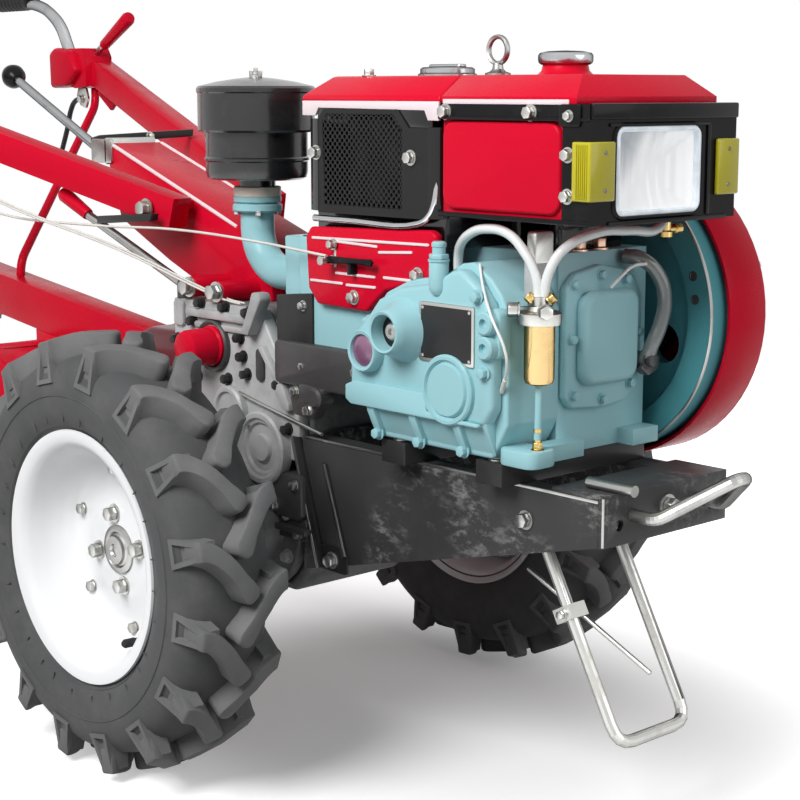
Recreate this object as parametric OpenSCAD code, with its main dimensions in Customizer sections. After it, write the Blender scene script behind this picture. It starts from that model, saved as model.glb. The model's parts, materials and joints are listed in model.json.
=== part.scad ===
// Walking tractor with a rear rotary tiller, standing on its wheels and its tail wheel.
// Millimetres, +X forward, +Y to the machine's left, +Z up, floor at z = 0.

/* [Wheels] */
// Outside diameter of a tyre over its lugs
tyre_d = 590; // [570:2:610]
// Width of a tyre over its sidewalls
tyre_w = 140; // [130:2:150]
// Height of a lug above the tyre's casing
lug_h = 28; // [20:1:32]
// Lugs on each half of a tyre
lug_count = 16; // [12:1:18]
// Length that a lug sweeps round the tyre
lug_sweep = 62; // [40:1:75]
// Width of a lug's bar
lug_w = 24; // [18:1:30]
// Diameter over the rim's lips
rim_d = 338; // [326:2:350]
// Width over the rim's lips
rim_w = 116; // [104:2:122]
// Thickness of the rim's sheet
rim_t = 4; // [3:0.5:6]
// Depth of the wheel disc behind the outer lip
disc_depth = 75; // [60:1:85]
// Diameter of the hub
hub_d = 90; // [80:2:100]
// Diameter of the axle shafts
axle_d = 40; // [34:1:48]
// Distance between the tyres' middles
track = 710; // [700:2:760]

/* [Transmission] */
// Width of the gearbox casing
case_w = 200; // [190:2:206]
// Height of the casing's top above the floor
case_top = 600; // [590:2:610]
// Height of the casing's bottom above the floor
case_bottom = 200; // [180:2:215]
// Reach of the casing behind the axle
case_back = 190; // [180:2:200]
// Reach of the casing in front of the axle
case_front = 102; // [98:1:108]
// Wall of the casing
case_wall = 18; // [10:1:24]
// Thickness of the bolted side covers
cover_t = 20; // [14:1:24]
// Diameter of the axle tubes
axle_tube_d = 120; // [100:2:130]
// Diameter of the flange that holds an axle tube
axle_flange_d = 190; // [170:2:194]

/* [Frame] */
// Height of the rails' top above the floor
frame_top = 434; // [424:1:440]
// Width over the two rails
frame_w = 230; // [222:2:232]
// Thickness of the rails' plate
rail_t = 8; // [6:1:10]
// Width of the rails' flanges
rail_flange = 30; // [24:1:32]
// Length of the rails
rail_l = 527; // [510:1:540]
// Depth of the rails at the gearbox
rail_deep = 187; // [170:1:195]
// Depth of the rails at the bumper
rail_shallow = 56; // [50:1:64]
// Length of the bumper's top plate
bumper_l = 80; // [60:2:90]
// Diameter of the lifting loop's bar
loop_d = 16; // [12:1:18]
// Reach of the lifting loop ahead of the bumper
loop_reach = 115; // [100:1:130]
// Diameter of the bumper's two bolt holes
bumper_hole_d = 14; // [10:1:16]

/* [Front stand] */
// Distance between the stand's legs
stand_w = 130; // [120:1:132]
// Diameter of the stand's tube
stand_d = 16; // [14:1:20]
// Length of the stand from its pivot to its foot
stand_l = 290; // [260:1:300]
// Lean of the stand in front of upright, in degrees
stand_lean = 28.7; // [25:0.1:34]
// Diameter of the stand's pivot pins
pivot_d = 16; // [12:1:18]

/* [Engine] */
// Height of the bars that carry the engine
mount_h = 29; // [24:1:34]
// Distance of the crankcase's front ahead of the axle
block_front = 520; // [516:1:530]
// Length of the crankcase
block_l = 230; // [222:1:236]
// Width of the crankcase
block_w = 162; // [156:1:166]
// Height of the crankcase
block_h = 245; // [240:1:250]
// Place of the crankcase's left side from the machine's middle
block_side = 102; // [98:1:104]
// Depth of the gear case on the right of the crankcase
gear_case_w = 110; // [100:1:116]
// Wall of the engine's castings
cast_wall = 12; // [8:1:16]
// Length of the cylinder behind the crankcase
cyl_l = 180; // [172:1:184]
// Length of the cylinder head
head_l = 45; // [40:1:50]
// Diameter of the intake pipe
intake_d = 48; // [40:1:50]
// Diameter of the air cleaner's body
cleaner_d = 146; // [130:2:150]
// Height of the air cleaner
cleaner_h = 140; // [120:2:150]
// Diameter of the silencer
silencer_d = 90; // [80:2:94]

/* [Flywheel and belts] */
// Diameter of the flywheel
flywheel_d = 370; // [360:2:374]
// Diameter of the crankshaft's end in the flywheel
crank_d = 36; // [30:1:40]
// Width of the flywheel
flywheel_w = 50; // [44:1:52]
// Diameter of the belt pulley on the flywheel
drive_pulley_d = 130; // [110:2:150]
// Diameter of the clutch pulley
clutch_pulley_d = 210; // [190:2:216]
// Width of one belt
belt_w = 13; // [11:0.5:14]
// Thickness of a belt
belt_t = 10; // [8:0.5:12]
// Thickness of the guard's sheet
guard_t = 4; // [2:0.5:5]

/* [Hood, tank and lamp] */
// Height of the hood's lower edge above the crankcase
hood_lift = 177; // [170:1:184]
// Height of the hood and the tank's top above that edge
hood_h = 33; // [28:1:38]
// Width of the hood and the tank's top
hood_w = 250; // [246:1:256]
// Width of the tank and radiator under the hood
tank_w = 240; // [234:1:242]
// Length of the fuel tank
tank_l = 200; // [190:1:206]
// Wall of the tank and hood
sheet_t = 3; // [2:0.5:4]
// Wall of the radiator
radiator_wall = 6; // [4:0.5:8]
// Height of the tank and the lamp housing
tank_h = 130; // [120:1:134]
// Depth of the lamp housing
lamp_depth = 40; // [34:1:46]
// Width of the lamp housing
lamp_w = 263; // [256:1:270]
// Width of the headlamp's glass
lens_w = 150; // [140:1:156]
// Height of the headlamp's glass
lens_h = 100; // [90:1:106]
// Diameter of the lifting eye's hole
eye_d = 26; // [20:1:28]

/* [Handles] */
// Width of the handle box
handle_box_w = 100; // [90:2:104]
// Height of a handle arm's tube
arm_h = 46; // [40:1:50]
// Width of a handle arm's tube
arm_w = 40; // [36:1:44]
// Wall of the handle arms
arm_wall = 4; // [3:0.5:5]
// Length of a handle arm
arm_l = 850; // [820:2:870]
// Spread of a handle arm to its side, in degrees
arm_spread = 14.6; // [13:0.1:15]
// Rise of a handle arm to the rear, in degrees
arm_rise = 14.6; // [13:0.1:15.5]
// Diameter of the handlebar tube
bar_d = 28; // [24:1:32]
// Diameter of a grip
grip_d = 38; // [34:1:42]
// Length of a grip
grip_l = 130; // [110:2:150]

/* [Tiller] */
// Width of the tined reel over its tines
reel_w = 540; // [500:2:560]
// Radius of the tines' tips
tine_r = 200; // [190:1:205]
// Height of the reel's axis above the floor
reel_z = 240; // [236:1:250]
// Distance of the reel's axis behind the axle
reel_back = 700; // [690:1:710]
// Tines in one ring
tine_count = 4; // [3:1:6]
// Rings of tines on each side of the chain case
ring_count = 3; // [2:1:4]
// Diameter of the reel's shaft
reel_shaft_d = 40; // [34:1:46]
// Thickness of the tiller hood's sheet
hood_sheet = 4; // [3:0.5:6]
// Width of the chain case
chain_case_w = 56; // [50:1:60]
// Width of the rear beam
beam_w = 55; // [50:1:60]
// Height of the rear beam
beam_h = 72; // [66:1:76]
// Wall of the rear beam
beam_wall = 5; // [4:0.5:7]
// Length of the rear beam
beam_l = 640; // [620:1:660]
// Rise of the rear beam, in degrees
beam_rise = 7; // [6:0.1:8]

/* [Tail wheel] */
// Diameter of the tail wheel
tail_d = 220; // [200:2:230]
// Width of the tail wheel
tail_w = 60; // [50:1:66]
// Diameter of the tail wheel's post
post_d = 36; // [30:1:40]

/* [Clearances] */
// Gap between parts that seat in each other
fit_gap = 0.3; // [0.2:0.05:0.5]
// Gap between a turning part and what stands beside it
run_gap = 6; // [5:0.5:7]

/* [Hidden] */
$fn = 64;

// Wheel centre and the radii that the tyre and the rim share
axle_z = tyre_d / 2;
casing_r = tyre_d / 2 - lug_h;
lip_r = rim_d / 2;
seat_r = lip_r - 17;
well_r = seat_r - 20;
bead_z = rim_w / 2 - rim_t - fit_gap;
disc_z = rim_w / 2 - disc_depth;
hub_out = disc_z + 26;
hub_in = -tyre_w / 2 - 14;
axle_tube_end = track / 2 + hub_in - 10;

// Rails and bumper, measured from the axle
plate_front = case_front + rail_t;
rail_front = plate_front + rail_l;
bumper_front = rail_front + rail_t;
front_reach = bumper_front + loop_reach;
rail_bottom = frame_top - rail_deep;
rail_gap_w = frame_w - 2 * rail_flange;

// Stand pivot, set back from the bumper and above the rails' lower flange
pivot_x = rail_front - 139;
pivot_z = frame_top - rail_shallow - rail_t - pivot_d / 2 + 10;

// Engine
base_z = frame_top + mount_h;
block_top = base_z + block_h;
block_back = block_front - block_l;
block_right = block_side - block_w;
gear_case_y = block_right - gear_case_w;
engine_y = (block_side + gear_case_y) / 2 + 16;
crank_x = block_front - 96;
crank_z = base_z + 155;
cyl_back = block_back - cyl_l;
head_back = cyl_back - head_l;
cyl_right = gear_case_y + 44;
cyl_left = block_side - 27;
cyl_top = block_top;
intake_y = cyl_right + 48;
intake_z = cyl_top - 59;
cleaner_x = head_back - 105;
cleaner_z = block_top + 58;

// Flywheel, belts and clutch, from the crankcase's left side outwards
flywheel_y = max(block_side, frame_w / 2) + run_gap + 1;
belt_pitch = belt_w + 4;
pulley_w = 2 * belt_pitch + 4;
pulley_y = flywheel_y + flywheel_w;
crank_bore = flywheel_w - 20;
clutch_x = -60;
clutch_z = case_top - 60;
clutch_boss_y = pulley_y - run_gap - 2;
guard_in = flywheel_y + flywheel_w / 2;
guard_out = pulley_y + pulley_w + run_gap;
guard_r = flywheel_d / 2 + run_gap + 4;
guard_clutch_r = clutch_pulley_d / 2 + belt_t + run_gap;

// Hood, tank and lamp
hood_z = block_top + hood_lift;
hood_top = hood_z + hood_h;
tank_front = block_front + 80;
tank_back = tank_front - tank_l;
radiator_back = cyl_back + 38;
radiator_front = tank_back - 8;
lamp_front = tank_front + lamp_depth;
tank_z = hood_z - tank_h;

// Handles
box_back = -460;
arm_front = -215;
arm_y = handle_box_w / 2 + 38;
arm_z = case_top + 120;
arm_end = [arm_front - arm_l * cos(arm_rise) * cos(arm_spread),
           arm_y + arm_l * cos(arm_rise) * sin(arm_spread),
           arm_z + arm_l * sin(arm_rise)];
bar_y = arm_end[1] - 8;
bar_top = arm_end[2] + 145;
grip_end = arm_end[0] - 360;
rear_reach = -grip_end;

// Tiller and rear beam
beam_front = -case_back - 205;
beam_top = case_top - 80;
beam_end_x = beam_front - beam_l * cos(beam_rise);
reel_x = -reel_back;
tiller_hood_r = tine_r + 30;
reel_half = chain_case_w / 2 + run_gap;
tail_x = beam_end_x + 10;
post_x = tail_x + 60;

// The axle's place, so that the origin is under the middle of the whole machine
axle_x = (rear_reach - front_reach) / 2;

// Helpers

module at_axle() { translate([axle_x, 0, 0]) children(); }

// Outline drawn in x and z, pushed sideways from y0 to y1
module side_slab(y0, y1) {
  translate([0, y1, 0]) rotate([90, 0, 0]) linear_extrude(y1 - y0) children();
}

// Outline drawn in y and z, pushed forward from x0 to x1
module front_slab(x0, x1) {
  translate([x0, 0, 0]) rotate([90, 0, 90]) linear_extrude(x1 - x0) children();
}

// Round bar across the machine
module cross_bar(x, z, r, y0, y1) {
  translate([x, y0, z]) rotate([-90, 0, 0]) cylinder(r = r, h = y1 - y0);
}

// Block between two corners
module block(low, high) { translate(low) cube(high - low); }

module rounded_rect(w, h, r) {
  translate([r, r]) offset(r = r) square([w - 2 * r, h - 2 * r]);
}

module both_sides() {
  children();
  mirror([0, 1, 0]) children();
}

function unit(v) = v / norm(v);
function path_dir(p, i) = unit(p[min(i + 1, len(p) - 1)] - p[max(i - 1, 0)]);
function flat_to(v, t) = unit(v - t * (v * t));

// Sideways directions carried along a path, so that a swept bar does not twist
function carried(p, side) = [for (
  i = 0, n = flat_to(side, path_dir(p, 0));
  i < len(p);
  i = i + 1, n = i < len(p) ? flat_to(n, path_dir(p, i)) : n) n];

// Path with its inner corners rounded, each curve starting the given length before the corner
function rounded(p, cut, steps = 4) = concat(
  [p[0]],
  [for (i = [1 : len(p) - 2])
    let (a = p[i] + cut * unit(p[i - 1] - p[i]), b = p[i] + cut * unit(p[i + 1] - p[i]))
    for (s = [0 : steps])
      let (t = s / steps) (1 - t) * (1 - t) * a + 2 * t * (1 - t) * p[i] + t * t * b],
  [p[len(p) - 1]]);

// Path that leaves its seat by a short straight step, then runs on with rounded corners
function led(p, step, cut) = concat(
  [p[0]],
  rounded(concat([p[0] + step], [for (i = [1 : len(p) - 1]) p[i]]), cut));

// Round bar or tube swept along a path
module swept_bar(path, r, side, sides = 12) {
  n = carried(path, side);
  last = (len(path) - 1) * sides;
  points = [for (i = [0 : len(path) - 1], k = [0 : sides - 1])
    let (t = path_dir(path, i), a = 360 * k / sides)
    path[i] + r * (cos(a) * n[i] + sin(a) * cross(t, n[i]))];
  walls = [for (i = [0 : len(path) - 2], k = [0 : sides - 1])
    let (a = i * sides, b = a + sides, j = (k + 1) % sides)
    [a + k, b + k, b + j, a + j]];
  start = [for (k = [0 : sides - 1]) k];
  end = [for (k = [sides - 1 : -1 : 0]) last + k];
  polyhedron(points, concat([start], walls, [end]));
}

// Straight round bar between two points
module straight_bar(a, b, r) {
  d = b - a;
  translate(a) rotate([0, acos(d[2] / norm(d)), atan2(d[1], d[0])]) cylinder(r = r, h = norm(d));
}

// Wheels

// A wheel's own frame has its axis along z, its outer side up and the floor towards -y
module right_wheel_place() {
  at_axle() translate([0, -track / 2, axle_z]) rotate([90, 0, 0]) children();
}

module left_wheel_place() {
  at_axle() translate([0, track / 2, axle_z]) mirror([0, 1, 0]) rotate([90, 0, 0]) children();
}

function two_sided(half) = concat(half, [for (i = [len(half) - 1 : -1 : 0]) [half[i][0], -half[i][1]]]);

lug_out = tyre_w / 2 - 5;

// Bar of a lug: it leads at the tread's middle and turns across towards the shoulder
module lug_outline() {
  rows = [0, 0.25, 0.5, 0.75, 1];
  mid = function(t) lug_sweep * sin(90 * t);
  row_z = function(t) -3 + (lug_out + 3) * t;
  width = function(t) lug_w * (0.8 + 0.4 * t);
  polygon(concat(
    [for (t = rows) [mid(t) - width(t) / 2, row_z(t)]],
    [for (i = [len(rows) - 1 : -1 : 0]) let (t = rows[i]) [mid(t) + width(t) / 2, row_z(t)]]));
}

module lug() {
  front_slab(casing_r - 16, tyre_d / 2 + 6) lug_outline();
  shoulder_turn = lug_sweep / casing_r * 180 / PI;
  foot_r = casing_r - 32;
  head_r = tyre_d / 2 - 12;
  rotate([0, 0, shoulder_turn]) difference() {
    translate([0, 0, lug_out - 24]) linear_extrude(24)
      polygon([[foot_r, -21], [head_r, -8], [head_r, 8], [foot_r, 21]]);
    translate([0, 0, lug_out - 5]) linear_extrude(10)
      polygon([[foot_r + 6, -10], [head_r - 14, 0], [foot_r + 6, 10]]);
  }
}

module tyre() {
  half = [
    [casing_r, 22], [casing_r - 2, 38], [casing_r - 9, tyre_w / 2 - 18], [casing_r - 22, tyre_w / 2 - 6],
    [casing_r - 45, tyre_w / 2], [lip_r + 29, tyre_w / 2 - 1], [lip_r + 11, tyre_w / 2 - 7],
    [lip_r + 2, bead_z], [seat_r + fit_gap, bead_z]];
  crown = [[tyre_d / 2, 24], [tyre_d / 2 - 9, tyre_w / 2], [0, tyre_w / 2]];
  rotate_extrude() polygon(two_sided(half));
  intersection() {
    rotate_extrude() polygon(two_sided(crown));
    union() for (i = [0 : lug_count - 1]) {
      rotate([0, 0, 360 * i / lug_count]) lug();
      rotate([0, 0, 360 * (i + 0.5) / lug_count]) mirror([0, 0, 1]) lug();
    }
  }
}

module rim() {
  edge = rim_w / 2;
  outer = [[lip_r, edge], [lip_r, edge - rim_t], [seat_r, edge - rim_t], [seat_r, 28], [well_r, 20]];
  inner = [[well_r - rim_t, 22], [seat_r - rim_t, 30], [seat_r - rim_t, edge]];
  difference() {
    union() {
      rotate_extrude() polygon(concat(
        two_sided(outer),
        [for (i = [len(inner) - 1 : -1 : 0]) [inner[i][0], -inner[i][1]]],
        inner));
      translate([0, 0, disc_z - 3]) cylinder(r = well_r - rim_t / 2, h = 6);
      translate([0, 0, hub_in]) cylinder(d = hub_d - 14, h = disc_z - hub_in);
      translate([0, 0, disc_z]) cylinder(d = hub_d, h = 10);
      translate([0, 0, disc_z]) cylinder(d = hub_d * 0.6, h = hub_out - disc_z);
    }
    translate([0, 0, hub_in - 1]) cylinder(d = axle_d + 2 * fit_gap, h = hub_out - hub_in - 7);
  }
}

module right_tyre() { color("#3a3a3c") right_wheel_place() tyre(); }
module left_tyre() { color("#3a3a3c") left_wheel_place() tyre(); }
module right_rim() { color("white") right_wheel_place() rim(); }
module left_rim() { color("white") left_wheel_place() rim(); }

// Axle tubes with their flanges and the shafts that the wheels turn on
module axles() {
  color("dimgray") at_axle() both_sides() {
    cross_bar(0, axle_z, axle_flange_d / 2, case_w / 2, case_w / 2 + 18);
    cross_bar(0, axle_z, axle_tube_d / 2, case_w / 2, axle_tube_end);
    cross_bar(0, axle_z, axle_d / 2, axle_tube_end - 1, track / 2 + hub_out - 10);
  }
}

// Transmission

module case_outline() {
  polygon([[-case_back, case_top], [15, case_top], [case_front, frame_top + 36], [case_front, rail_bottom],
    [60, case_bottom], [-70, case_bottom], [-130, case_bottom + 45], [-case_back, case_bottom + 200]]);
}

module cover_outline() {
  polygon([[-case_back + 4, case_top - 4], [8, case_top - 6], [36, case_top - 52], [-6, case_top - 110],
    [-110, case_top - 116], [-case_back + 4, case_top - 70]]);
}

module gearbox_case() {
  color("#6d6f70") at_axle() difference() {
    side_slab(-case_w / 2, case_w / 2) case_outline();
    side_slab(-case_w / 2 - 1, case_w / 2 - case_wall) offset(delta = -case_wall) case_outline();
  }
}

// Bolted covers, closing the casing on the right and carrying the clutch shaft on the left
module gearbox_covers() {
  color("#8a8c8d") at_axle() {
    side_slab(-case_w / 2 - cover_t, -case_w / 2) case_lid();
    side_slab(case_w / 2, case_w / 2 + cover_t) cover_outline();
    cross_bar(clutch_x, clutch_z, 46, case_w / 2 + cover_t - 1, clutch_boss_y);
    cross_bar(clutch_x, clutch_z, 15, clutch_boss_y - 1, pulley_y + pulley_w - 8);
  }
}

// The right cover spans the whole opening above the axle flange
module case_lid() {
  difference() {
    union() {
      cover_outline();
      difference() {
        case_outline();
        translate([-case_back - 1, 0]) square([case_back + case_front + 2, axle_z + axle_flange_d / 2 + 6]);
      }
    }
    translate([case_front - 4, 0]) square([20, case_top]);
  }
}

module shaft_cap() {
  color("#b8122c") at_axle() {
    cross_bar(-90, case_top - 61, 34, -case_w / 2 - cover_t - 6, -case_w / 2 - cover_t);
    cross_bar(-90, case_top - 61, 26, -case_w / 2 - cover_t - 56, -case_w / 2 - cover_t - 5);
  }
}

// Frame

module rail_outline() {
  polygon([[plate_front, frame_top], [rail_front, frame_top], [rail_front, frame_top - rail_shallow],
    [plate_front, rail_bottom]]);
}

// One channel rail with its flanges turned inwards, and the stand's pivot pin in its web
module rail() {
  out = frame_w / 2;
  difference() {
    side_slab(out - rail_flange, out) rail_outline();
    side_slab(out - rail_flange - 1, out - rail_t) offset(delta = -rail_t) rail_outline();
  }
  cross_bar(pivot_x, pivot_z, pivot_d / 2, stand_w / 2 - stand_d / 2 - 4, out - rail_t + 1);
}

module frame() {
  color("#2b2b2d") at_axle() {
    block([case_front, -frame_w / 2, rail_bottom], [plate_front + 0.01, frame_w / 2, frame_top]);
    both_sides() rail();
  }
}

mount_bar_w = 44;

module mount_bars() {
  color("#3a3a38") at_axle()
    for (x = [block_back + 10, block_front - mount_bar_w - 6])
      block([x, gear_case_y + 22, frame_top], [x + mount_bar_w, frame_w / 2, base_z]);
}

bumper_top = frame_top + 6;
bumper_hole_y = frame_w / 2 - 30;
bumper_hole_z = frame_top - rail_shallow / 2 - 4;

module bumper() {
  color("#242426") at_axle() difference() {
    union() {
      block([rail_front, -frame_w / 2, frame_top - rail_shallow], [bumper_front, frame_w / 2, bumper_top]);
      block([bumper_front - bumper_l, -frame_w / 2, frame_top], [bumper_front, frame_w / 2, bumper_top]);
    }
    for (y = [-bumper_hole_y, bumper_hole_y])
      translate([rail_front - 1, y, bumper_hole_z]) rotate([0, 90, 0])
        cylinder(d = bumper_hole_d, h = rail_t + 2);
  }
}

// Bent loop for lifting the nose, and the loose pin that lies on the bumper
module bumper_loop() {
  r = loop_d / 2;
  low = frame_top - 23;
  tip = front_reach - r;
  tip_z = frame_top + 28;
  path = [[bumper_front, -62, low], [bumper_front + 36, -62, low], [tip, -11, tip_z],
    [tip, 11, tip_z], [bumper_front + 36, 62, low], [bumper_front, 62, low]];
  color("silver") at_axle() {
    swept_bar(rounded(path, 10.5), r, [0, 0, 1]);
    translate([bumper_front - bumper_l + 34, -88, bumper_top + 7]) rotate([0, 90, 0])
      cylinder(r = 7, h = 70);
  }
}

// U of round tube that swings on the rails' pins, with the clamped rod that holds its angle
module front_stand() {
  leg = stand_w / 2;
  r = stand_d / 2;
  boss_r = pivot_d / 2 + 7;
  foot = -stand_l + r;
  bent = [[0, -leg, -boss_r + 4], [0, -leg, foot], [0, leg, foot], [0, leg, -boss_r + 4]];
  rod_y = -leg + r + 5;
  color("#c8c8c6") at_axle() translate([pivot_x, 0, pivot_z]) rotate([0, -stand_lean, 0]) {
    difference() {
      union() {
        swept_bar(rounded(bent, 26), r, [1, 0, 0]);
        both_sides() translate([0, -leg - r - 1, 0]) rotate([-90, 0, 0])
          cylinder(r = boss_r, h = 2 * r + 2);
      }
      both_sides() translate([0, -leg - r - 3, 0]) rotate([-90, 0, 0])
        cylinder(d = pivot_d + 2 * fit_gap, h = 2 * r + 6);
    }
    block([-18, -leg - r - 2, -122], [r + 3, rod_y + 6, -104]);
    straight_bar([-55, rod_y, -42], [78, rod_y, -214], 3);
  }
}

// Engine

module gear_case_outline() {
  left = block_back - 34;
  right = block_front + 8;
  polygon([[left + 52, base_z + 4], [right - 22, base_z + 4], [right - 12, base_z + 28], [right, base_z + 46],
    [right, block_top - 66], [right - 12, block_top - 42], [right - 40, block_top - 18],
    [right - 88, block_top - 8], [right - 150, block_top - 10], [right - 215, block_top - 24],
    [left + 16, block_top - 46], [left + 2, block_top - 70], [left, base_z + 36]]);
}

module crankcase() {
  color("#7fb5b8") at_axle() {
    difference() {
      block([block_back, block_right, base_z], [block_front, block_side, block_top]);
      block([block_back - 1, block_right + cast_wall, base_z + cast_wall],
        [block_front - cast_wall, block_side - cast_wall, block_top - cast_wall]);
    }
    block([block_front - 1, gear_case_y + 25, base_z], [block_front + 26, block_right + 22, base_z + 20]);
    block([block_front - 1, block_side - 48, base_z], [block_front + 26, block_side, base_z + 20]);
    cross_bar(crank_x, crank_z, crank_d / 2, block_side - 1, flywheel_y + crank_bore - 2);
  }
}

// Gear case cover on the right, and the plain cover on the front of the crankcase
module engine_covers() {
  color("#9cc7cb") at_axle() {
    difference() {
      side_slab(gear_case_y, block_right) gear_case_outline();
      side_slab(gear_case_y + cast_wall, block_right + 1) offset(delta = -cast_wall) gear_case_outline();
    }
    cross_bar(block_back + 48, crank_z - 10, 20, gear_case_y - 34, gear_case_y + 1);
    cross_bar(block_back + 10, crank_z - 36, 24, gear_case_y - 16, gear_case_y + 1);
    front_slab(block_front, block_front + 12)
      translate([block_side - 144, base_z + 58]) rounded_rect(132, 148, 22);
    front_slab(block_front + 11, block_front + 26)
      translate([block_side - 128, base_z + 72]) rounded_rect(100, 120, 18);
  }
}

module cylinder_block_outline() {
  side = block_back - 38;
  polygon([[cyl_back, cyl_right], [side, cyl_right], [side, block_right], [block_back, block_right],
    [block_back, cyl_left], [cyl_back, cyl_left]]);
}

module cylinder_block() {
  low = base_z + 56;
  difference() {
    translate([0, 0, low]) linear_extrude(cyl_top - low) cylinder_block_outline();
    block([cyl_back + cast_wall, block_right + cast_wall, low + cast_wall],
      [block_back + 1, cyl_left - cast_wall, cyl_top - cast_wall]);
  }
  difference() {
    block([head_back, cyl_right + 12, low - 6], [cyl_back + 0.01, cyl_left - 6, cyl_top - 2]);
    side_slab(cyl_right, cyl_left) offset(delta = run_gap) case_outline();
  }
}

module cylinder_node() { color("#8fbfc3") at_axle() cylinder_block(); }

panel_gap = 3;
engine_mid = block_side - 118;
radiator_right = engine_mid - tank_w / 2 + 12;
panel_in = min(cyl_right, radiator_right);

// Pressed red panel over the side of the cylinder, cut round the gear case
module side_panel() {
  color("#c2142f") at_axle() side_slab(panel_in - 14, panel_in) difference() {
    translate([cyl_back + 26, cyl_top - 84]) rounded_rect(block_l + 25, 112, 14);
    offset(delta = panel_gap) gear_case_outline();
  }
}

module intake_elbow() {
  bend = 60;
  r = intake_d / 2;
  color("#8fc3c8") at_axle() translate([cleaner_x, intake_y, intake_z]) {
    translate([bend, 0, 0]) rotate([0, 90, 0]) cylinder(r = r, h = head_back - cleaner_x - bend);
    translate([bend, 0, bend]) rotate([90, 0, 0]) rotate_extrude(angle = 90, start = 180)
      translate([bend, 0]) circle(r = r);
    translate([0, 0, bend]) cylinder(r = r, h = cleaner_z - intake_z - bend - 12);
    translate([0, 0, cleaner_z - intake_z - 12]) cylinder(r = r + 8, h = 12);
  }
}

module air_cleaner() {
  r = cleaner_d / 2;
  color("#1d1d1f") at_axle() translate([cleaner_x, intake_y, cleaner_z]) rotate_extrude() polygon([
    [0, 0], [r * 0.36, 0], [r * 0.36, 12], [r - 4, 12], [r, 60], [r, cleaner_h - 66],
    [r + 9, cleaner_h - 66], [r + 9, cleaner_h - 14], [r, cleaner_h - 10],
    [10, cleaner_h], [10, cleaner_h + 18], [0, cleaner_h + 18]]);
}

// Silencer on the left of the cylinder head
module silencer() {
  r = silencer_d / 2;
  y = guard_in - run_gap - 1 - r;
  x = head_back - r - 14;
  pipe_y = cyl_left - 22;
  pipe_z = base_z + 200;
  color("#2a2a2a") at_axle() {
    translate([x, y, base_z + 177]) cylinder(r = r, h = 200);
    translate([x, y, base_z + 376]) cylinder(r = 14, h = 40);
    translate([x, pipe_y, pipe_z]) rotate([0, 90, 0]) cylinder(r = 15, h = head_back - x);
    cross_bar(x, pipe_z, 15, pipe_y - 15, y);
  }
}

module radiator() {
  color("#202022") at_axle() {
    difference() {
      block([radiator_back, radiator_right, cyl_top],
        [radiator_front, engine_mid + tank_w / 2, hood_z]);
      block([radiator_back, radiator_right, cyl_top] + radiator_wall * [1, 1, 1],
        [radiator_front - radiator_wall, engine_mid + tank_w / 2 - radiator_wall, hood_z + 1]);
    }
    for (x = [tank_back + 20, block_front - 30])
      block([x, block_right + 20, block_top], [x + 16, block_side - 30, tank_z]);
  }
}

grille_pitch = 13;
grille_hole = 9;

// Perforated panel on the radiator's right side
module radiator_grille() {
  w = radiator_front - radiator_back - 14;
  low = cyl_top + 40;
  h = hood_z - low - 1;
  y = radiator_right;
  columns = floor((w - 26) / grille_pitch);
  lines = floor((h - 26) / grille_pitch);
  color("#1b1b1d") at_axle() side_slab(y - 8, y) translate([radiator_back + 7, low]) difference() {
    rounded_rect(w, h, 8);
    for (i = [0 : columns - 1], k = [0 : lines - 1])
      translate([w / 2, h / 2] + grille_pitch * [i - (columns - 1) / 2, k - (lines - 1) / 2])
        circle(d = grille_hole, $fn = 6);
  }
}

// Chamfered cover with its long edges and one end drawn in towards the top
module chamfered_top(x0, x1, cut0, cut1, shrink) {
  w = hood_w / 2 - shrink;
  low = hood_z;
  high = hood_top - shrink;
  hull() {
    block([x0 + shrink, engine_mid - w, low], [x1 - shrink, engine_mid + w, low + 8]);
    block([x0 + cut0, engine_mid - w + 34, high - 2], [x1 - cut1, engine_mid + w - 34, high]);
  }
}

module hood() {
  color("#c2142f") at_axle() difference() {
    chamfered_top(radiator_back - 12, tank_back - 1, 26, 0, 0);
    block([radiator_back + 24, engine_mid - tank_w / 2 + 34, hood_z - 1],
      [radiator_front - 10, engine_mid + tank_w / 2 - 34, hood_top - 2 * sheet_t]);
  }
}

module fuel_tank() {
  color("#c2142f") at_axle() {
    difference() {
      block([tank_back, engine_mid - tank_w / 2, tank_z], [tank_front, engine_mid + tank_w / 2, hood_z]);
      block([tank_back + sheet_t, engine_mid - tank_w / 2 + sheet_t, tank_z + sheet_t],
        [tank_front - sheet_t, engine_mid + tank_w / 2 - sheet_t, hood_z + 1]);
    }
    difference() {
      chamfered_top(tank_back + 1, tank_front + 17, 0, 22, 0);
      chamfered_top(tank_back + 1, tank_front + 17, sheet_t, 24, sheet_t);
    }
  }
}

fuel_cap_x = tank_back + 95;
radiator_cap_x = radiator_front - 100;

module filler_caps() {
  color("silver") at_axle() {
    translate([fuel_cap_x, engine_mid - 10, hood_top]) {
      cylinder(r = 25, h = 12);
      translate([0, 0, 11]) cylinder(r = 33, h = 18);
    }
    translate([radiator_cap_x, engine_mid - 10, hood_top]) cylinder(r = 37, h = 12);
  }
}

eye_x = radiator_front - 6;
eye_y = engine_mid - 14;
eye_ring = eye_d / 2 + 8;
eye_t = 12;
eye_z = hood_top + 10 + eye_ring;

module lifting_eye() {
  color("silver") at_axle() {
    difference() {
      cross_bar(eye_x, eye_z, eye_ring, eye_y - eye_t / 2, eye_y + eye_t / 2);
      cross_bar(eye_x, eye_z, eye_d / 2, eye_y - eye_t / 2 - 1, eye_y + eye_t / 2 + 1);
    }
    translate([eye_x, eye_y, hood_top]) cylinder(r = 11, h = 14);
  }
}

lens_pocket = 14;
lens_y = engine_mid - 10;
lens_z = tank_z + 55;

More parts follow.
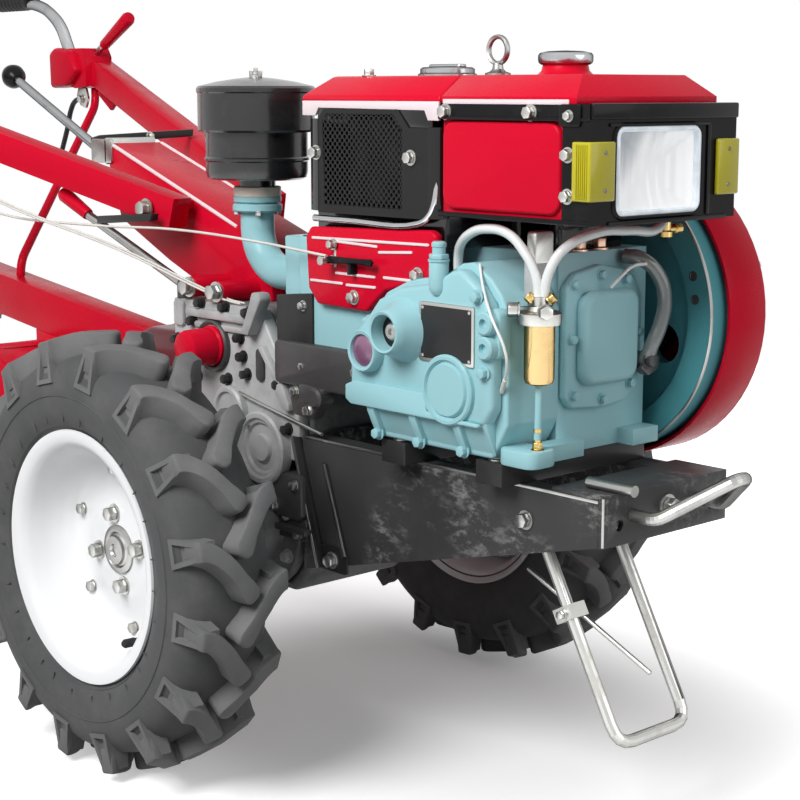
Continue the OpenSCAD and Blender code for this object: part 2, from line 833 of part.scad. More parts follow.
// The housing reaches past the strip on the tank's side
lamp_half = max(lamp_w, tank_w + 16) / 2;
lamp_low = engine_mid + 3 - lamp_half;
lamp_high = lamp_low + 2 * lamp_half;

module lens_outline() {
  translate([lens_y - lens_w / 2, lens_z - lens_h / 2]) rounded_rect(lens_w, lens_h, 10);
}

// Black housing across the front of the tank, with the strip that holds it on the right
module lamp_housing() {
  color("#1c1c1e") at_axle() {
    difference() {
      block([tank_front, lamp_low, tank_z - 4], [lamp_front, lamp_high, hood_z]);
      front_slab(lamp_front - lens_pocket, lamp_front + 1) lens_outline();
    }
    block([tank_back, engine_mid - tank_w / 2 - 5, hood_z - 19],
      [tank_front + 0.01, engine_mid - tank_w / 2, hood_z - 1]);
  }
}

module lamp_glass() {
  color("#dfe6ea") at_axle() front_slab(lamp_front - lens_pocket, lamp_front + 2) offset(delta = -fit_gap)
    lens_outline();
}

// Yellow lamps on the two front edges of the housing
module side_lamps() {
  color("#b9b41e") at_axle() {
    block([lamp_front, lamp_low, lens_z - 32], [lamp_front + 6, lamp_low + 38, lens_z + 34]);
    block([lamp_front - 22, lamp_low - 5, lens_z - 32], [lamp_front + 6, lamp_low, lens_z + 34]);
    block([lamp_front, lamp_high - 40, lens_z - 32], [lamp_front + 6, lamp_high, lens_z + 34]);
  }
}

filter_x = block_front + 34;
filter_y = gear_case_y + 42;
filter_z = base_z + 97;

module fuel_filter() {
  color("goldenrod") at_axle() {
    translate([filter_x, filter_y, filter_z]) rotate_extrude() polygon([
      [0, 0], [9, 0], [14, 6], [14, 62], [22, 64], [22, 92], [12, 96], [12, 108], [0, 108]]);
    block([block_front + 8, filter_y - 8, filter_z + 68], [filter_x, filter_y + 8, filter_z + 88]);
  }
}

// Routes of the fuel hoses and the engine's breather hose
filter_top = [filter_x, filter_y, filter_z + 108];
pump_route = [filter_top, filter_top + [0, 0, 30], [520, -140, 738], [480, -145, 742], [452, -138, 730],
  [450, -130, 714], [450, -130, 699]];
tank_route = [filter_top + [0, 4, 0.2], filter_top + [9, 6, 28], [572, -108, 720], [590, -70, 738],
  [596, -20, 738], [590, 40, 738], [586, 58, 740], [586, 58, 754.7]];
breather_route = [[520.3, 70, 690], [548, 84, 690], [562, 98, 665], [564, 104, 630], [556, 96, 586],
  [553, 84, 570], [532.3, 84, 570]];

module hoses() {
  color("#d9dde0") at_axle() {
    swept_bar(rounded(pump_route, 7), 5, [0, 1, 0], 8);
    swept_bar(led(tank_route, [0, 0, 6], 7), 5, [1, 0, 0], 8);
    swept_bar(led(breather_route, [8, 0, 0], 7), 9, [0, 1, 0], 8);
  }
}

// Flywheel, belts and guard

module pulley_profile(d) {
  r = d / 2;
  flange = r + belt_t - 2;
  polygon(concat(
    [[0, 0], [flange, 0], [flange, 3], [r, 4]],
    [[r, belt_pitch + 1], [flange, belt_pitch + 2], [r, belt_pitch + 3]],
    [[r, pulley_w - 4], [flange, pulley_w - 3], [flange, pulley_w], [0, pulley_w]]));
}

module flywheel() {
  r = flywheel_d / 2;
  color("#3f7d80") at_axle() translate([crank_x, flywheel_y, crank_z]) rotate([-90, 0, 0]) difference() {
    union() {
      rotate_extrude() polygon([[0, 0], [40, 0], [46, 14], [r - 44, 14], [r - 36, 0], [r, 0], [r, flywheel_w],
        [r - 30, flywheel_w], [r - 40, 34], [60, 34], [56, flywheel_w], [0, flywheel_w]]);
      translate([0, 0, flywheel_w - 0.01]) rotate_extrude() pulley_profile(drive_pulley_d);
    }
    for (a = [0 : 120 : 240]) rotate([0, 0, a + 20]) translate([105, 0, -1]) cylinder(r = 26, h = flywheel_w);
    translate([0, 0, -1]) cylinder(d = crank_d + 2 * fit_gap, h = crank_bore + 1);
  }
}

module clutch_pulley() {
  color("#4a4a4c") at_axle() translate([clutch_x, pulley_y, clutch_z]) rotate([-90, 0, 0]) difference() {
    rotate_extrude() pulley_profile(clutch_pulley_d);
    translate([0, 0, -1]) cylinder(r = 15 + fit_gap, h = pulley_w - 6);
  }
}

// Outline round both pulleys, grown by the given amount
module belt_outline(grow) {
  hull() {
    translate([crank_x, crank_z]) circle(r = drive_pulley_d / 2 + grow);
    translate([clutch_x, clutch_z]) circle(r = clutch_pulley_d / 2 + grow);
  }
}

module drive_belts() {
  color("#222222") at_axle() for (i = [0, 1]) {
    y = pulley_y + 2 + (belt_pitch - belt_w) / 2 + i * belt_pitch;
    side_slab(y, y + belt_w) difference() {
      belt_outline(belt_t);
      belt_outline(2 * fit_gap);
    }
  }
}

module guard_outline(shrink) {
  hull() {
    translate([crank_x, crank_z]) circle(r = guard_r - shrink);
    translate([clutch_x, clutch_z]) circle(r = guard_clutch_r - shrink);
  }
}

// Red hoop round the flywheel that runs back over the belts, closed on the left
module belt_guard() {
  color("#c2142f") at_axle() {
    side_slab(guard_in, guard_out) difference() {
      guard_outline(0);
      guard_outline(guard_t);
    }
    side_slab(guard_out - 0.01, guard_out + guard_t) guard_outline(0);
    guard_foot();
  }
}

// Two flat brackets that hold the guard on the frame and on the clutch boss
module guard_foot() {
  block([crank_x - 20, frame_w / 2, frame_top - 34], [crank_x + 20, guard_in + 12, frame_top - 26]);
  translate([crank_x - 20, guard_in, frame_top - 34]) cube([40, 12, crank_z - guard_r - frame_top + 38]);
}

// Handles

module handle_box_outline() {
  polygon([[box_back, case_top + 218], [-120, case_top + 106], [-45, case_top + 80], [-45, case_top],
    [-case_back + 2, case_top], [-300, case_top + 42], [-430, case_top + 100], [box_back, case_top + 180]]);
}

module handle_box() {
  half = handle_box_w / 2;
  wall = 5;
  color("#c2142f") at_axle() difference() {
    side_slab(-half, half) handle_box_outline();
    side_slab(-half + wall, half - wall) union() {
      offset(delta = -wall) handle_box_outline();
      translate([-case_back + 20, case_top - 1]) square([100, 20]);
    }
  }
}

// One arm's own frame runs backwards along -x from the arm's front end
module arm_place() {
  at_axle() translate([arm_front, arm_y, arm_z]) rotate([0, arm_rise, -arm_spread]) children();
}

module handle_arm() {
  arm_place() difference() {
    block([-arm_l, -arm_w / 2, -arm_h / 2], [0, arm_w / 2, arm_h / 2]);
    block([-arm_l + arm_wall, -arm_w / 2 + arm_wall, -arm_h / 2 + arm_wall],
      [1, arm_w / 2 - arm_wall, arm_h / 2 - arm_wall]);
  }
  arm_place() front_slab(-4, 0) square([arm_w, arm_h], center = true);
}

// Wedge that bolts an arm to the side of the handle box
module arm_wedge() {
  half = handle_box_w / 2;
  at_axle() translate([0, 0, arm_z + 5]) linear_extrude(12) polygon([
    [arm_front - 16, half], [arm_front - 16, arm_y - arm_w / 2 + 8],
    [arm_front - 100, arm_y - arm_w / 2 + 28], [arm_front - 100, half]]);
}

module handle_arms() {
  color("#c2142f") both_sides() {
    handle_arm();
    arm_wedge();
    at_axle() bracket();
  }
}

bracket_l = 86;
bracket_top = 46;

// Pressed housing at the end of an arm, with the socket for the handlebar
module bracket() {
  translate([arm_end[0] + 6, bar_y, arm_end[2]]) {
    side_slab(-30, 30) polygon([[0, -26], [0, 30], [-10, bracket_top], [-60, bracket_top], [-bracket_l, 20],
      [-bracket_l, -20], [-40, -30]]);
  }
}

// Bent handlebar tubes
module handlebars() {
  start = [arm_end[0] - 38, bar_y, arm_end[2] + bracket_top];
  path = [start, start + [-8, 0, 34], [start[0] - 90, bar_y, bar_top - 14], [start[0] - 150, bar_y, bar_top],
    [grip_end + grip_l - 1, bar_y, bar_top]];
  color("#b9babb") at_axle() both_sides() {
    swept_bar(led(path, [0, 0, 6], 12), bar_d / 2, [0, 1, 0]);
    translate([grip_end + 4, bar_y, bar_top]) rotate([0, 90, 0]) cylinder(d = bar_d - 8, h = grip_l);
  }
}

module grips() {
  color("#1a1a1a") at_axle() both_sides()
    translate([grip_end, bar_y, bar_top]) rotate([0, 90, 0]) difference() {
      cylinder(d = grip_d, h = grip_l - 1.5);
      translate([0, 0, 3]) cylinder(d = bar_d - 8 + 2 * fit_gap, h = grip_l);
    }
}

// Gear lever, tiller lever and clutch lever with their knobs and grips
module levers() {
  color("silver") at_axle() {
    translate([box_back, 0, case_top + 202]) rotate([0, -90, 0]) cylinder(r = 12, h = 18);
    straight_bar([box_back - 12, 0, case_top + 202], [-850, -16, case_top + 322], 8);
    translate([-858, -16, case_top + 324]) sphere(r = 21);
    straight_bar([-500, -2, case_top + 213], [-486, 118, case_top + 232], 7);
    tiller_base = [-176, -case_w / 2 - cover_t / 2, case_top];
    translate(tiller_base) cylinder(d = cover_t - 2, h = 26);
    straight_bar(tiller_base + [0, 0, 18], [-395, -134, case_top + 112], 7);
    straight_bar([-395, -134, case_top + 112], [-455, -140, case_top + 142], 12);
    clutch = [arm_end[0] - 14, bar_y, arm_end[2] + bracket_top];
    translate(clutch) cylinder(r = 8, h = 14);
    straight_bar(clutch + [0, 0, 6], clutch + [56, 0, 66], 6);
    straight_bar(clutch + [54, 0, 64], clutch + [100, 0, 122], 13);
  }
}

// Throttle cable along the right arm, and the two steering cables to the gearbox
throttle_route = [[-1004.6, -262, 944], [-972, -238, 890], [-930, -244, 864], [-700, -252, 764],
  [-512, -222, 712], [-330, -172, 701], [-140, -152, 704], [40, -146, 698], [180, -144.3, 690]];
steer_route = [[-1004.6, -264, 914], [-975, -261, 862], [-800, -265, 820], [-490, -228, 728],
  [-250, -172, 668], [-70, -116, 606], [-36, -114, 603.4]];

module cables() {
  color("#d8d8d4") at_axle() {
    swept_bar(led(throttle_route, [6, 0, 0], 16), 4, [0, 1, 0], 8);
    for (shift = [0, 8])
      swept_bar(led([for (p = steer_route) p + [0, shift, 0]], [6, 0, 0], 12), 3, [0, 1, 0], 8);
  }
}

// Rear beam and tiller

beam_foot = [beam_front - beam_h * sin(beam_rise), beam_top - beam_h * cos(beam_rise)];

// Casting between the gearbox's back and the beam
module hitch() {
  color("#3b3033") at_axle() side_slab(-45, 45) polygon([
    [-case_back, beam_top + 12], [beam_front + 30, beam_top + 12], [beam_front, beam_top], beam_foot,
    [-case_back, beam_foot[1]]]);
}

module rear_beam() {
  color("#b5122b") at_axle() {
    translate([beam_front, 0, beam_top]) rotate([0, beam_rise, 0]) difference() {
      block([-beam_l, -beam_w / 2, -beam_h], [0, beam_w / 2, 0]);
      block([-beam_l + beam_wall, -beam_w / 2 + beam_wall, -beam_h + beam_wall],
        [1, beam_w / 2 - beam_wall, -beam_wall]);
    }
    beam_strut();
  }
}

strut_r = 8;
strut_x = beam_front - 438;

// Bent bar that stands on the beam and ties it to the housing on the left arm's end
module beam_strut() {
  up = [sin(beam_rise), 0, cos(beam_rise)];
  foot = [strut_x, 0, beam_bottom(strut_x) + beam_h / cos(beam_rise)];
  head = [arm_end[0] - 9, bar_y, arm_end[2] - 28.9];
  swept_bar(rounded([foot + fit_gap * up, foot + 28 * up, head - [0, 0, 34], head], 20), strut_r, [0, 1, 0]);
}

function beam_bottom(x) = beam_top + (beam_front - x) * tan(beam_rise) - beam_h / cos(beam_rise);

module chain_case_outline(grow) {
  top_x = beam_front + 40;
  offset(delta = grow) union() {
    hull() {
      translate([reel_x, reel_z]) circle(r = reel_shaft_d / 2 + 28);
      translate([top_x, beam_foot[1] - 60]) circle(r = 44);
    }
    translate([top_x - 44, beam_foot[1] - 60]) square([88, 60]);
  }
}

module chain_case() {
  half = chain_case_w / 2;
  color("#46484a") at_axle() difference() {
    side_slab(-half, half) chain_case_outline(0);
    cross_bar(reel_x, reel_z, reel_shaft_d / 2 + fit_gap, -half - 1, half + 1);
  }
}

hood_half = reel_w / 2 + 16;

function hood_arc(r, low = -5, high = 190) = [for (a = [low : 5 : high]) [r * cos(a), r * sin(a)]];

// Space under the sheet, open downwards
module tiller_hood_pocket(r) {
  arc = hood_arc(r);
  polygon(concat(arc, [[arc[len(arc) - 1][0], -r], [arc[0][0], -r]]));
}

// Sheet hood over the reel, with its end plates and the saddle under the beam
module tiller_hood() {
  in = tiller_hood_r;
  out = in + hood_sheet;
  color("#c2142f") at_axle() {
    difference() {
      side_slab(-hood_half, hood_half) translate([reel_x, reel_z]) polygon(hood_arc(out));
      side_slab(-hood_half + hood_sheet, hood_half - hood_sheet) translate([reel_x, reel_z])
        tiller_hood_pocket(in);
      side_slab(-chain_case_w / 2 - 4, chain_case_w / 2 + 4) chain_case_outline(4);
    }
    saddle();
  }
}

module saddle() {
  foot = hood_arc(tiller_hood_r + hood_sheet / 2, 80, 100);
  x1 = reel_x + foot[0][0];
  x0 = reel_x + foot[len(foot) - 1][0];
  side_slab(-beam_w / 2, beam_w / 2) polygon(concat(
    [for (p = foot) p + [reel_x, reel_z]],
    [[x0, beam_bottom(x0)], [x1, beam_bottom(x1)]]));
}

// L-shaped tine: a shank that runs out from its ring and a blade bent sideways
module tine(turn) {
  rotate([0, 0, turn]) {
    translate([0, -14, 0]) cube([tine_r - 16, 28, 9]);
    translate([0, -14, 0]) linear_extrude(58) polygon([
      [tine_r - 26, 0], [tine_r - 16, 28], [tine_r - 4, 28], [tine_r - 10, 0]]);
  }
}

module reel_side() {
  pitch = (reel_w / 2 - reel_half - 66) / (ring_count - 1);
  cross_bar(0, 0, reel_shaft_d / 2 + 16, reel_half, reel_w / 2 - 2);
  for (i = [0 : ring_count - 1]) translate([0, reel_half + 4 + i * pitch, 0]) rotate([-90, 0, 0]) {
    cylinder(r = 62, h = 9);
    for (k = [0 : tine_count - 1]) tine(360 * k / tine_count + i * 30);
  }
}

module tine_reel() {
  color("#4d4f51") at_axle() translate([reel_x, 0, reel_z]) {
    cross_bar(0, 0, reel_shaft_d / 2, -reel_half - 1, reel_half + 1);
    both_sides() reel_side();
  }
}

// Post, fork and axle of the tail wheel
module tail_fork() {
  side = tail_w / 2 + run_gap;
  crown = tail_d + 22;
  color("#3c3c3e") at_axle() {
    both_sides() side_slab(side, side + 8) hull() {
      translate([tail_x, tail_d / 2]) circle(r = 22);
      translate([post_x - 10, crown]) square([40, 10], center = true);
    }
    block([post_x - 34, -side - 8, crown - 5], [post_x + 26, side + 8, crown + 9]);
    translate([post_x, 0, crown + 8]) cylinder(d = post_d, h = beam_bottom(post_x) - crown - 8 - 2.4);
    cross_bar(tail_x, tail_d / 2, 10, -side - 1, side + 1);
  }
}

module tail_wheel() {
  r = tail_d / 2;
  w = tail_w / 2;
  color("#333335") at_axle() translate([tail_x, 0, r]) rotate([90, 0, 0]) difference() {
    rotate_extrude() polygon(two_sided([[r, w - 16], [r - 6, w - 4], [r - 18, w], [r - 40, w - 4],
      [r - 44, 8], [32, 8], [30, w - 1], [0, w - 1]]));
    cylinder(r = 10 + fit_gap, h = tail_w + 2, center = true);
  }
}

right_tyre();
right_rim();
left_tyre();
left_rim();
axles();
gearbox_case();
gearbox_covers();
shaft_cap();
frame();
mount_bars();
bumper();
bumper_loop();
front_stand();
crankcase();
engine_covers();
cylinder_node();  // cylinder
side_panel();
intake_elbow();
air_cleaner();
silencer();
radiator();
radiator_grille();
hood();
filler_caps();
fuel_tank();
lifting_eye();
lamp_housing();
lamp_glass();
side_lamps();
fuel_filter();
hoses();
flywheel();
drive_belts();
clutch_pulley();
belt_guard();
handle_box();
handle_arms();
handlebars();
grips();
levers();
cables();
hitch();
rear_beam();
tiller_hood();
chain_case();
tine_reel();
tail_fork();
tail_wheel();
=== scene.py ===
# %% [markdown]
# A walking tractor is a small engine on two tall wheels, steered by a person who walks behind it. The
# imported model already holds every piece at its real place, so this lesson starts by loading that frame.
# The dressed model may not grow out of it.

# %% Load the frame
import json
import math
import random

import bmesh
import bpy
from mathutils import Matrix, Vector

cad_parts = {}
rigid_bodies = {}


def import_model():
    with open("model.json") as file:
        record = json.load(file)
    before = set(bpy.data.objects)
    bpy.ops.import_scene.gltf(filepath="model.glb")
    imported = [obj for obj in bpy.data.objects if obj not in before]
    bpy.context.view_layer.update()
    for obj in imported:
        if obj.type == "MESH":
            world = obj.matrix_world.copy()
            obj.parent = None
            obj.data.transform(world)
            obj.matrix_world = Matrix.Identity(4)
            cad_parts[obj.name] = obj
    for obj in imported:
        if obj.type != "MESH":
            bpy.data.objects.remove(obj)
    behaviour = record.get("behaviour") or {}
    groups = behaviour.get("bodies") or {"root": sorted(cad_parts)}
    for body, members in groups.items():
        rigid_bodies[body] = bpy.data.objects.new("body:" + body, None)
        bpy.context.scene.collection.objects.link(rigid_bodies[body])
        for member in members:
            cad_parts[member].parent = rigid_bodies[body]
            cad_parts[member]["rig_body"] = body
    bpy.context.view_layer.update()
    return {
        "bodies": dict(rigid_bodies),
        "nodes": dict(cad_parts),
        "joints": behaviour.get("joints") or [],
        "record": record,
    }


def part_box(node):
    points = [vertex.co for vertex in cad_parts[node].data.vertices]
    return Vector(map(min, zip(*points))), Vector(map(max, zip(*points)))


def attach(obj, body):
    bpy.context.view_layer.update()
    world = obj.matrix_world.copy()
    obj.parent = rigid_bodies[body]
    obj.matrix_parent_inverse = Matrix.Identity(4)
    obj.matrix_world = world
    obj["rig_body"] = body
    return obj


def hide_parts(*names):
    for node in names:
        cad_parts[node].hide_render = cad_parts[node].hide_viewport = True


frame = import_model()
nodes = frame["nodes"]

# %% [markdown]
# Every size on the machine is easiest to read from the wheel axle, so a helper turns millimetres from the
# axle into a point of the scene: forwards, to the left, and up from the floor.

# %% Measure from the axle
axle_low, axle_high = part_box("axles")
AXLE_X = (axle_low.x + axle_high.x) / 2
AXLE_UP = (axle_low.z + axle_high.z) / 2 * 1000


def at(x, y, z):
    """A point in millimetres from the axle and the floor, as metres in the scene."""
    return Vector((AXLE_X + x / 1000, y / 1000, z / 1000))


print("axle at", round(AXLE_X, 4), "height", round(AXLE_UP, 1), "mm")

# %% [markdown]
# The photograph was taken with a long lens from the front right, a little above the hood. The viewing
# angle was worked out from the rims, which are true circles, and gives the camera's place, its two angles
# and its lens.

# %% Camera
VIEW_TURN = math.radians(47.6)
VIEW_DIP = math.radians(10.0)
LENS_MM = 78.9
CAMERA_AT = (1934.8, -1608.4, 899.4)

camera_data = bpy.data.cameras.new("camera")
camera_data.sensor_width = 36
camera_data.lens = LENS_MM
camera_data.clip_end = 100
camera = bpy.data.objects.new("camera", camera_data)
bpy.context.scene.collection.objects.link(camera)
look = Vector((-math.sin(VIEW_TURN) * math.cos(VIEW_DIP), math.cos(VIEW_TURN) * math.cos(VIEW_DIP),
               -math.sin(VIEW_DIP)))
camera.location = at(*CAMERA_AT)
camera.rotation_euler = look.to_track_quat("-Z", "Y").to_euler()
bpy.context.scene.camera = camera
print("camera at", [round(v, 3) for v in camera.location])

# %% [markdown]
# Shader maths reads best as plain arithmetic. A small class wraps a socket, and adding or multiplying two
# of them adds the Math node for it. A finish is one material with a method that adds any other node.


# %% Sockets that do arithmetic
class Socket:
    def __init__(self, finish, socket):
        self.finish, self.socket = finish, socket

    def math(self, operation, a, b):
        return self.finish.node("ShaderNodeMath", {"operation": operation}, {0: a, 1: b})

    def __add__(self, other):
        return self.math("ADD", self, other)

    def __mul__(self, other):
        return self.math("MULTIPLY", self, other)

    __radd__ = __add__
    __rmul__ = __mul__


class Finish:
    def __init__(self, name, **constants):
        self.material = bpy.data.materials.new(name)
        self.material.use_nodes = True
        self.tree = self.material.node_tree
        self.shader = self.tree.nodes["Principled BSDF"]
        for socket, value in constants.items():
            self.shader.inputs[socket.replace("_", " ")].default_value = value
        self.where = self.node("ShaderNodeTexCoord", out="Object")

    def node(self, kind, settings=None, inputs=None, out=0):
        made = self.tree.nodes.new(kind)
        for name, value in (settings or {}).items():
            setattr(made, name, value)
        for name, value in (inputs or {}).items():
            if isinstance(value, Socket):
                self.tree.links.new(value.socket, made.inputs[name])
            else:
                made.inputs[name].default_value = value
        return Socket(self, made.outputs[out])

    def noise(self, scale, detail=4.0, roughness=0.6, where=None):
        return self.node("ShaderNodeTexNoise", None, {
            "Vector": where or self.where, "Scale": scale, "Detail": detail, "Roughness": roughness})

    def stretched(self, x, y, z):
        return self.node("ShaderNodeMapping", None, {"Vector": self.where, "Scale": (x, y, z)})

    def ramp(self, value, low, high):
        return self.node("ShaderNodeMapRange", {"interpolation_type": "SMOOTHSTEP"}, {
            "Value": value, "From Min": low, "From Max": high})

    def mix(self, factor, a, b):
        as_colour = [v if isinstance(v, Socket) else (*v, 1) for v in (a, b)]
        return self.node("ShaderNodeMix", {"data_type": "RGBA"},
                         {0: factor, 6: as_colour[0], 7: as_colour[1]}, out=2)

    def feed(self, socket, value):
        self.tree.links.new(value.socket, self.shader.inputs[socket])
        return self

    def bump(self, height, strength, distance=0.001):
        return self.feed("Normal", self.node("ShaderNodeBump", None, {
            "Height": height, "Strength": strength, "Distance": distance}))


print("shader helpers ready")

# %% [markdown]
# Sprayed enamel covers most of the machine. Close up it is never one colour: the film is a little uneven
# (the ripple painters call orange peel), dust dulls it in patches, and the paint is rubbed thin along
# edges. Bevelled edges are found with the Pointiness of the surface in some scripts, but the export
# cannot keep that, so noise at three scales gives the dust, the specks and the ripple, and the clear coat
# gives the wet highlight.


# %% Paints
def enamel(name, colour, dusty, rough=0.28, coat=0.22, chips=0.0, specular=0.22):
    paint = Finish(name, Coat_Weight=coat, Coat_Roughness=0.08, Specular_IOR_Level=specular)
    cloud = paint.noise(9.0, 6.0)
    speck = paint.noise(240.0, 2.0)
    dust = paint.ramp(cloud, 0.42, 0.78)
    shade = paint.mix(dust * 0.28, colour, dusty)
    if chips:
        rubbed = paint.ramp(paint.noise(6.0, 5.0), 0.46, 0.62)
        scratch = paint.ramp(paint.noise(75.0, 9.0, 0.75, paint.stretched(0.5, 1.0, 1.0)), 0.47, 0.62)
        shade = paint.mix(rubbed * scratch * chips, shade, (0.24, 0.238, 0.235))
    paint.feed("Base Color", shade)
    paint.feed("Roughness", dust * 0.18 + speck * 0.06 + (rough - 0.05))
    paint.bump(paint.noise(520.0, 2.0), 0.05)
    return paint.material


RED = enamel("red enamel", (0.64, 0.004, 0.026), (0.50, 0.009, 0.031), coat=0.04, specular=0.05)
MAROON = enamel("dark red enamel", (0.10, 0.012, 0.018), (0.14, 0.05, 0.05), rough=0.4, coat=0.3)
TEAL = enamel("teal enamel", (0.32, 0.575, 0.62), (0.36, 0.59, 0.62), rough=0.36, coat=0.08, specular=0.14)
TEAL_DARK = enamel("flywheel enamel", (0.09, 0.34, 0.385), (0.13, 0.36, 0.40), rough=0.4, coat=0.06,
                   specular=0.12)
WHITE = enamel("rim enamel", (0.84, 0.85, 0.86), (0.76, 0.76, 0.75), rough=0.34, coat=0.3)
# Pale enamel is the hood's stripe, and on beads and thin edge lines it is a painted highlight.
PALE = enamel("stripe enamel", (0.82, 0.70, 0.72), (0.74, 0.62, 0.64), rough=0.3, coat=0.4)
BLACK = enamel("black enamel", (0.022, 0.022, 0.023), (0.075, 0.072, 0.07), rough=0.42, coat=0.05,
               specular=0.18)
SCUFFED = enamel("scuffed black", (0.036, 0.036, 0.037), (0.085, 0.083, 0.08), rough=0.45, coat=0.05,
                 chips=1.0, specular=0.2)
GLOSS_BLACK = enamel("gloss black", (0.007, 0.007, 0.008), (0.016, 0.016, 0.016), rough=0.16, coat=0.3,
                     specular=0.3)
print("paints: red, teal, white, black")

# %% [markdown]
# Castings, bare steel, rubber and plastic each have their own grain. Sand casting leaves a coarse skin,
# drawn steel has streaks along its length, and tyre rubber is dull with a pale bloom of dust in its
# hollows.


# %% Metals, rubber and plastics
def casting(name, colour, grimy, rough=0.55):
    iron = Finish(name)
    cloud = iron.noise(14.0, 8.0)
    grime = iron.ramp(cloud, 0.40, 0.72)
    iron.feed("Base Color", iron.mix(grime * 0.75, colour, grimy))
    iron.feed("Roughness", grime * 0.25 + (rough - 0.12))
    iron.bump(iron.noise(310.0, 4.0), 0.28)
    return iron.material


def bare_metal(name, colour, rough, tarnish):
    metal = Finish(name, Metallic=1.0, Specular_Tint=(0.12, 0.12, 0.12, 1))
    cloud = metal.ramp(metal.noise(26.0, 6.0), 0.45, 0.75)
    streak = metal.noise(90.0, 3.0, where=metal.stretched(0.15, 1.0, 1.0))
    metal.feed("Base Color", metal.mix(cloud * 0.5, colour, tarnish))
    metal.feed("Roughness", streak * 0.14 + cloud * 0.2 + (rough - 0.06))
    metal.bump(streak, 0.06)
    return metal.material


def rubber(name, colour, dusty, rough=0.72):
    skin = Finish(name, Specular_IOR_Level=0.15)
    cloud = skin.ramp(skin.noise(16.0, 8.0), 0.38, 0.74)
    grain = skin.noise(620.0, 3.0)
    skin.feed("Base Color", skin.mix(cloud * 0.55, colour, dusty))
    skin.feed("Roughness", cloud * 0.16 + (rough - 0.06))
    skin.bump(grain, 0.18)
    return skin.material


def moulded(name, colour, pale, rough=0.3, **constants):
    plastic = Finish(name, **constants)
    cloud = plastic.ramp(plastic.noise(30.0, 5.0), 0.45, 0.8)
    plastic.feed("Base Color", plastic.mix(cloud * 0.4, colour, pale))
    plastic.feed("Roughness", cloud * 0.1 + (rough - 0.02))
    plastic.bump(plastic.noise(700.0, 2.0), 0.06)
    return plastic.material


IRON = casting("grey casting", (0.17, 0.175, 0.18), (0.05, 0.048, 0.046))
IRON_PALE = casting("pale casting", (0.46, 0.465, 0.47), (0.27, 0.265, 0.26), rough=0.5)
IRON_DARK = casting("dark casting", (0.050, 0.048, 0.050), (0.024, 0.022, 0.022), rough=0.5)
STEEL = bare_metal("bare steel", (0.40, 0.40, 0.39), 0.3, (0.20, 0.19, 0.18))
ZINC = bare_metal("zinc plate", (0.52, 0.52, 0.50), 0.32, (0.32, 0.30, 0.26))
CHROME = bare_metal("chrome plate", (0.50, 0.51, 0.52), 0.14, (0.30, 0.30, 0.30))
FORGED = bare_metal("forged steel", (0.16, 0.16, 0.165), 0.45, (0.13, 0.09, 0.07))
BRASS = bare_metal("brass", (0.62, 0.45, 0.18), 0.25, (0.42, 0.29, 0.12))
GOLD = bare_metal("gold lacquer", (0.56, 0.40, 0.19), 0.22, (0.44, 0.30, 0.13))
COPPER = bare_metal("copper plate", (0.62, 0.40, 0.30), 0.3, (0.40, 0.25, 0.19))
TYRE = rubber("tyre rubber", (0.078, 0.079, 0.081), (0.140, 0.139, 0.137))
LUG_RUBBER = rubber("lug rubber", (0.140, 0.141, 0.143), (0.215, 0.214, 0.212))
SOFT_BLACK = rubber("grip rubber", (0.016, 0.016, 0.017), (0.05, 0.05, 0.05), rough=0.55)
CAN_BLACK = moulded("can lacquer", (0.012, 0.012, 0.013), (0.03, 0.03, 0.03), rough=0.26, Coat_Weight=0.3)
BLACK_PLASTIC = moulded("black plastic", (0.008, 0.008, 0.009), (0.018, 0.018, 0.018), rough=0.24,
                        Coat_Weight=0.04, Specular_IOR_Level=0.1)
MATT_BLACK = moulded("matt black", (0.012, 0.012, 0.012), (0.028, 0.027, 0.026), rough=0.5,
                     Specular_IOR_Level=0.2)
AMBER = moulded("lamp amber", (0.5, 0.44, 0.012), (0.54, 0.49, 0.03), rough=0.18, Coat_Weight=0.2,
                Specular_IOR_Level=0.25)
VIOLET = moulded("sight plug", (0.20, 0.085, 0.16), (0.28, 0.14, 0.22), rough=0.3, Coat_Weight=0.5)
HOSE = moulded("clear hose", (0.74, 0.77, 0.76), (0.82, 0.83, 0.81), rough=0.22, Coat_Weight=0.5)
BREATHER = moulded("breather hose", (0.15, 0.17, 0.17), (0.24, 0.26, 0.26), rough=0.25, Coat_Weight=0.5)
CABLE = moulded("cable sleeve", (0.70, 0.69, 0.65), (0.52, 0.51, 0.47), rough=0.4)
BEIGE = moulded("clamp ring", (0.72, 0.60, 0.52), (0.62, 0.52, 0.44), rough=0.4)
print("finishes:", len(bpy.data.materials))

# %% [markdown]
# A few shapes come back all over a machine: turned parts, flat plates with rounded edges, and hexagon
# heads. A turned part could be a cylinder cut and scaled by hand, but spinning its profile is how a lathe
# makes it. Each helper gives a bmesh, which is a mesh that is still being worked on, and as_piece makes
# the finished object.


# %% Helpers for shapes
RIGHT, LEFT, FRONT, BACK, UP, DOWN = (0, -1, 0), (0, 1, 0), (1, 0, 0), (-1, 0, 0), (0, 0, 1), (0, 0, -1)
BODY = "tractor"


def shade(piece, material, angle=32.0):
    piece.data.materials.clear()
    piece.data.materials.append(material)
    for face in piece.data.polygons:
        face.use_smooth = True
    piece.data.set_sharp_from_angle(angle=math.radians(angle))


def fitted(name, data, slot, stands_for, body):
    """An object for finished data. It rides on a body and may stand for CAD nodes. The slot is not used."""
    piece = bpy.data.objects.new(name, data)
    bpy.context.scene.collection.objects.link(piece)
    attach(piece, body)
    if stands_for:
        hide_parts(*stands_for)
    return piece


def as_piece(work, name, material, slot, stands_for=(), body=BODY, angle=32.0):
    """Turns a bmesh into a finished object."""
    data = bpy.data.meshes.new(name)
    work.to_mesh(data)
    work.free()
    shade(fitted(name, data, slot, stands_for, body), material, angle)


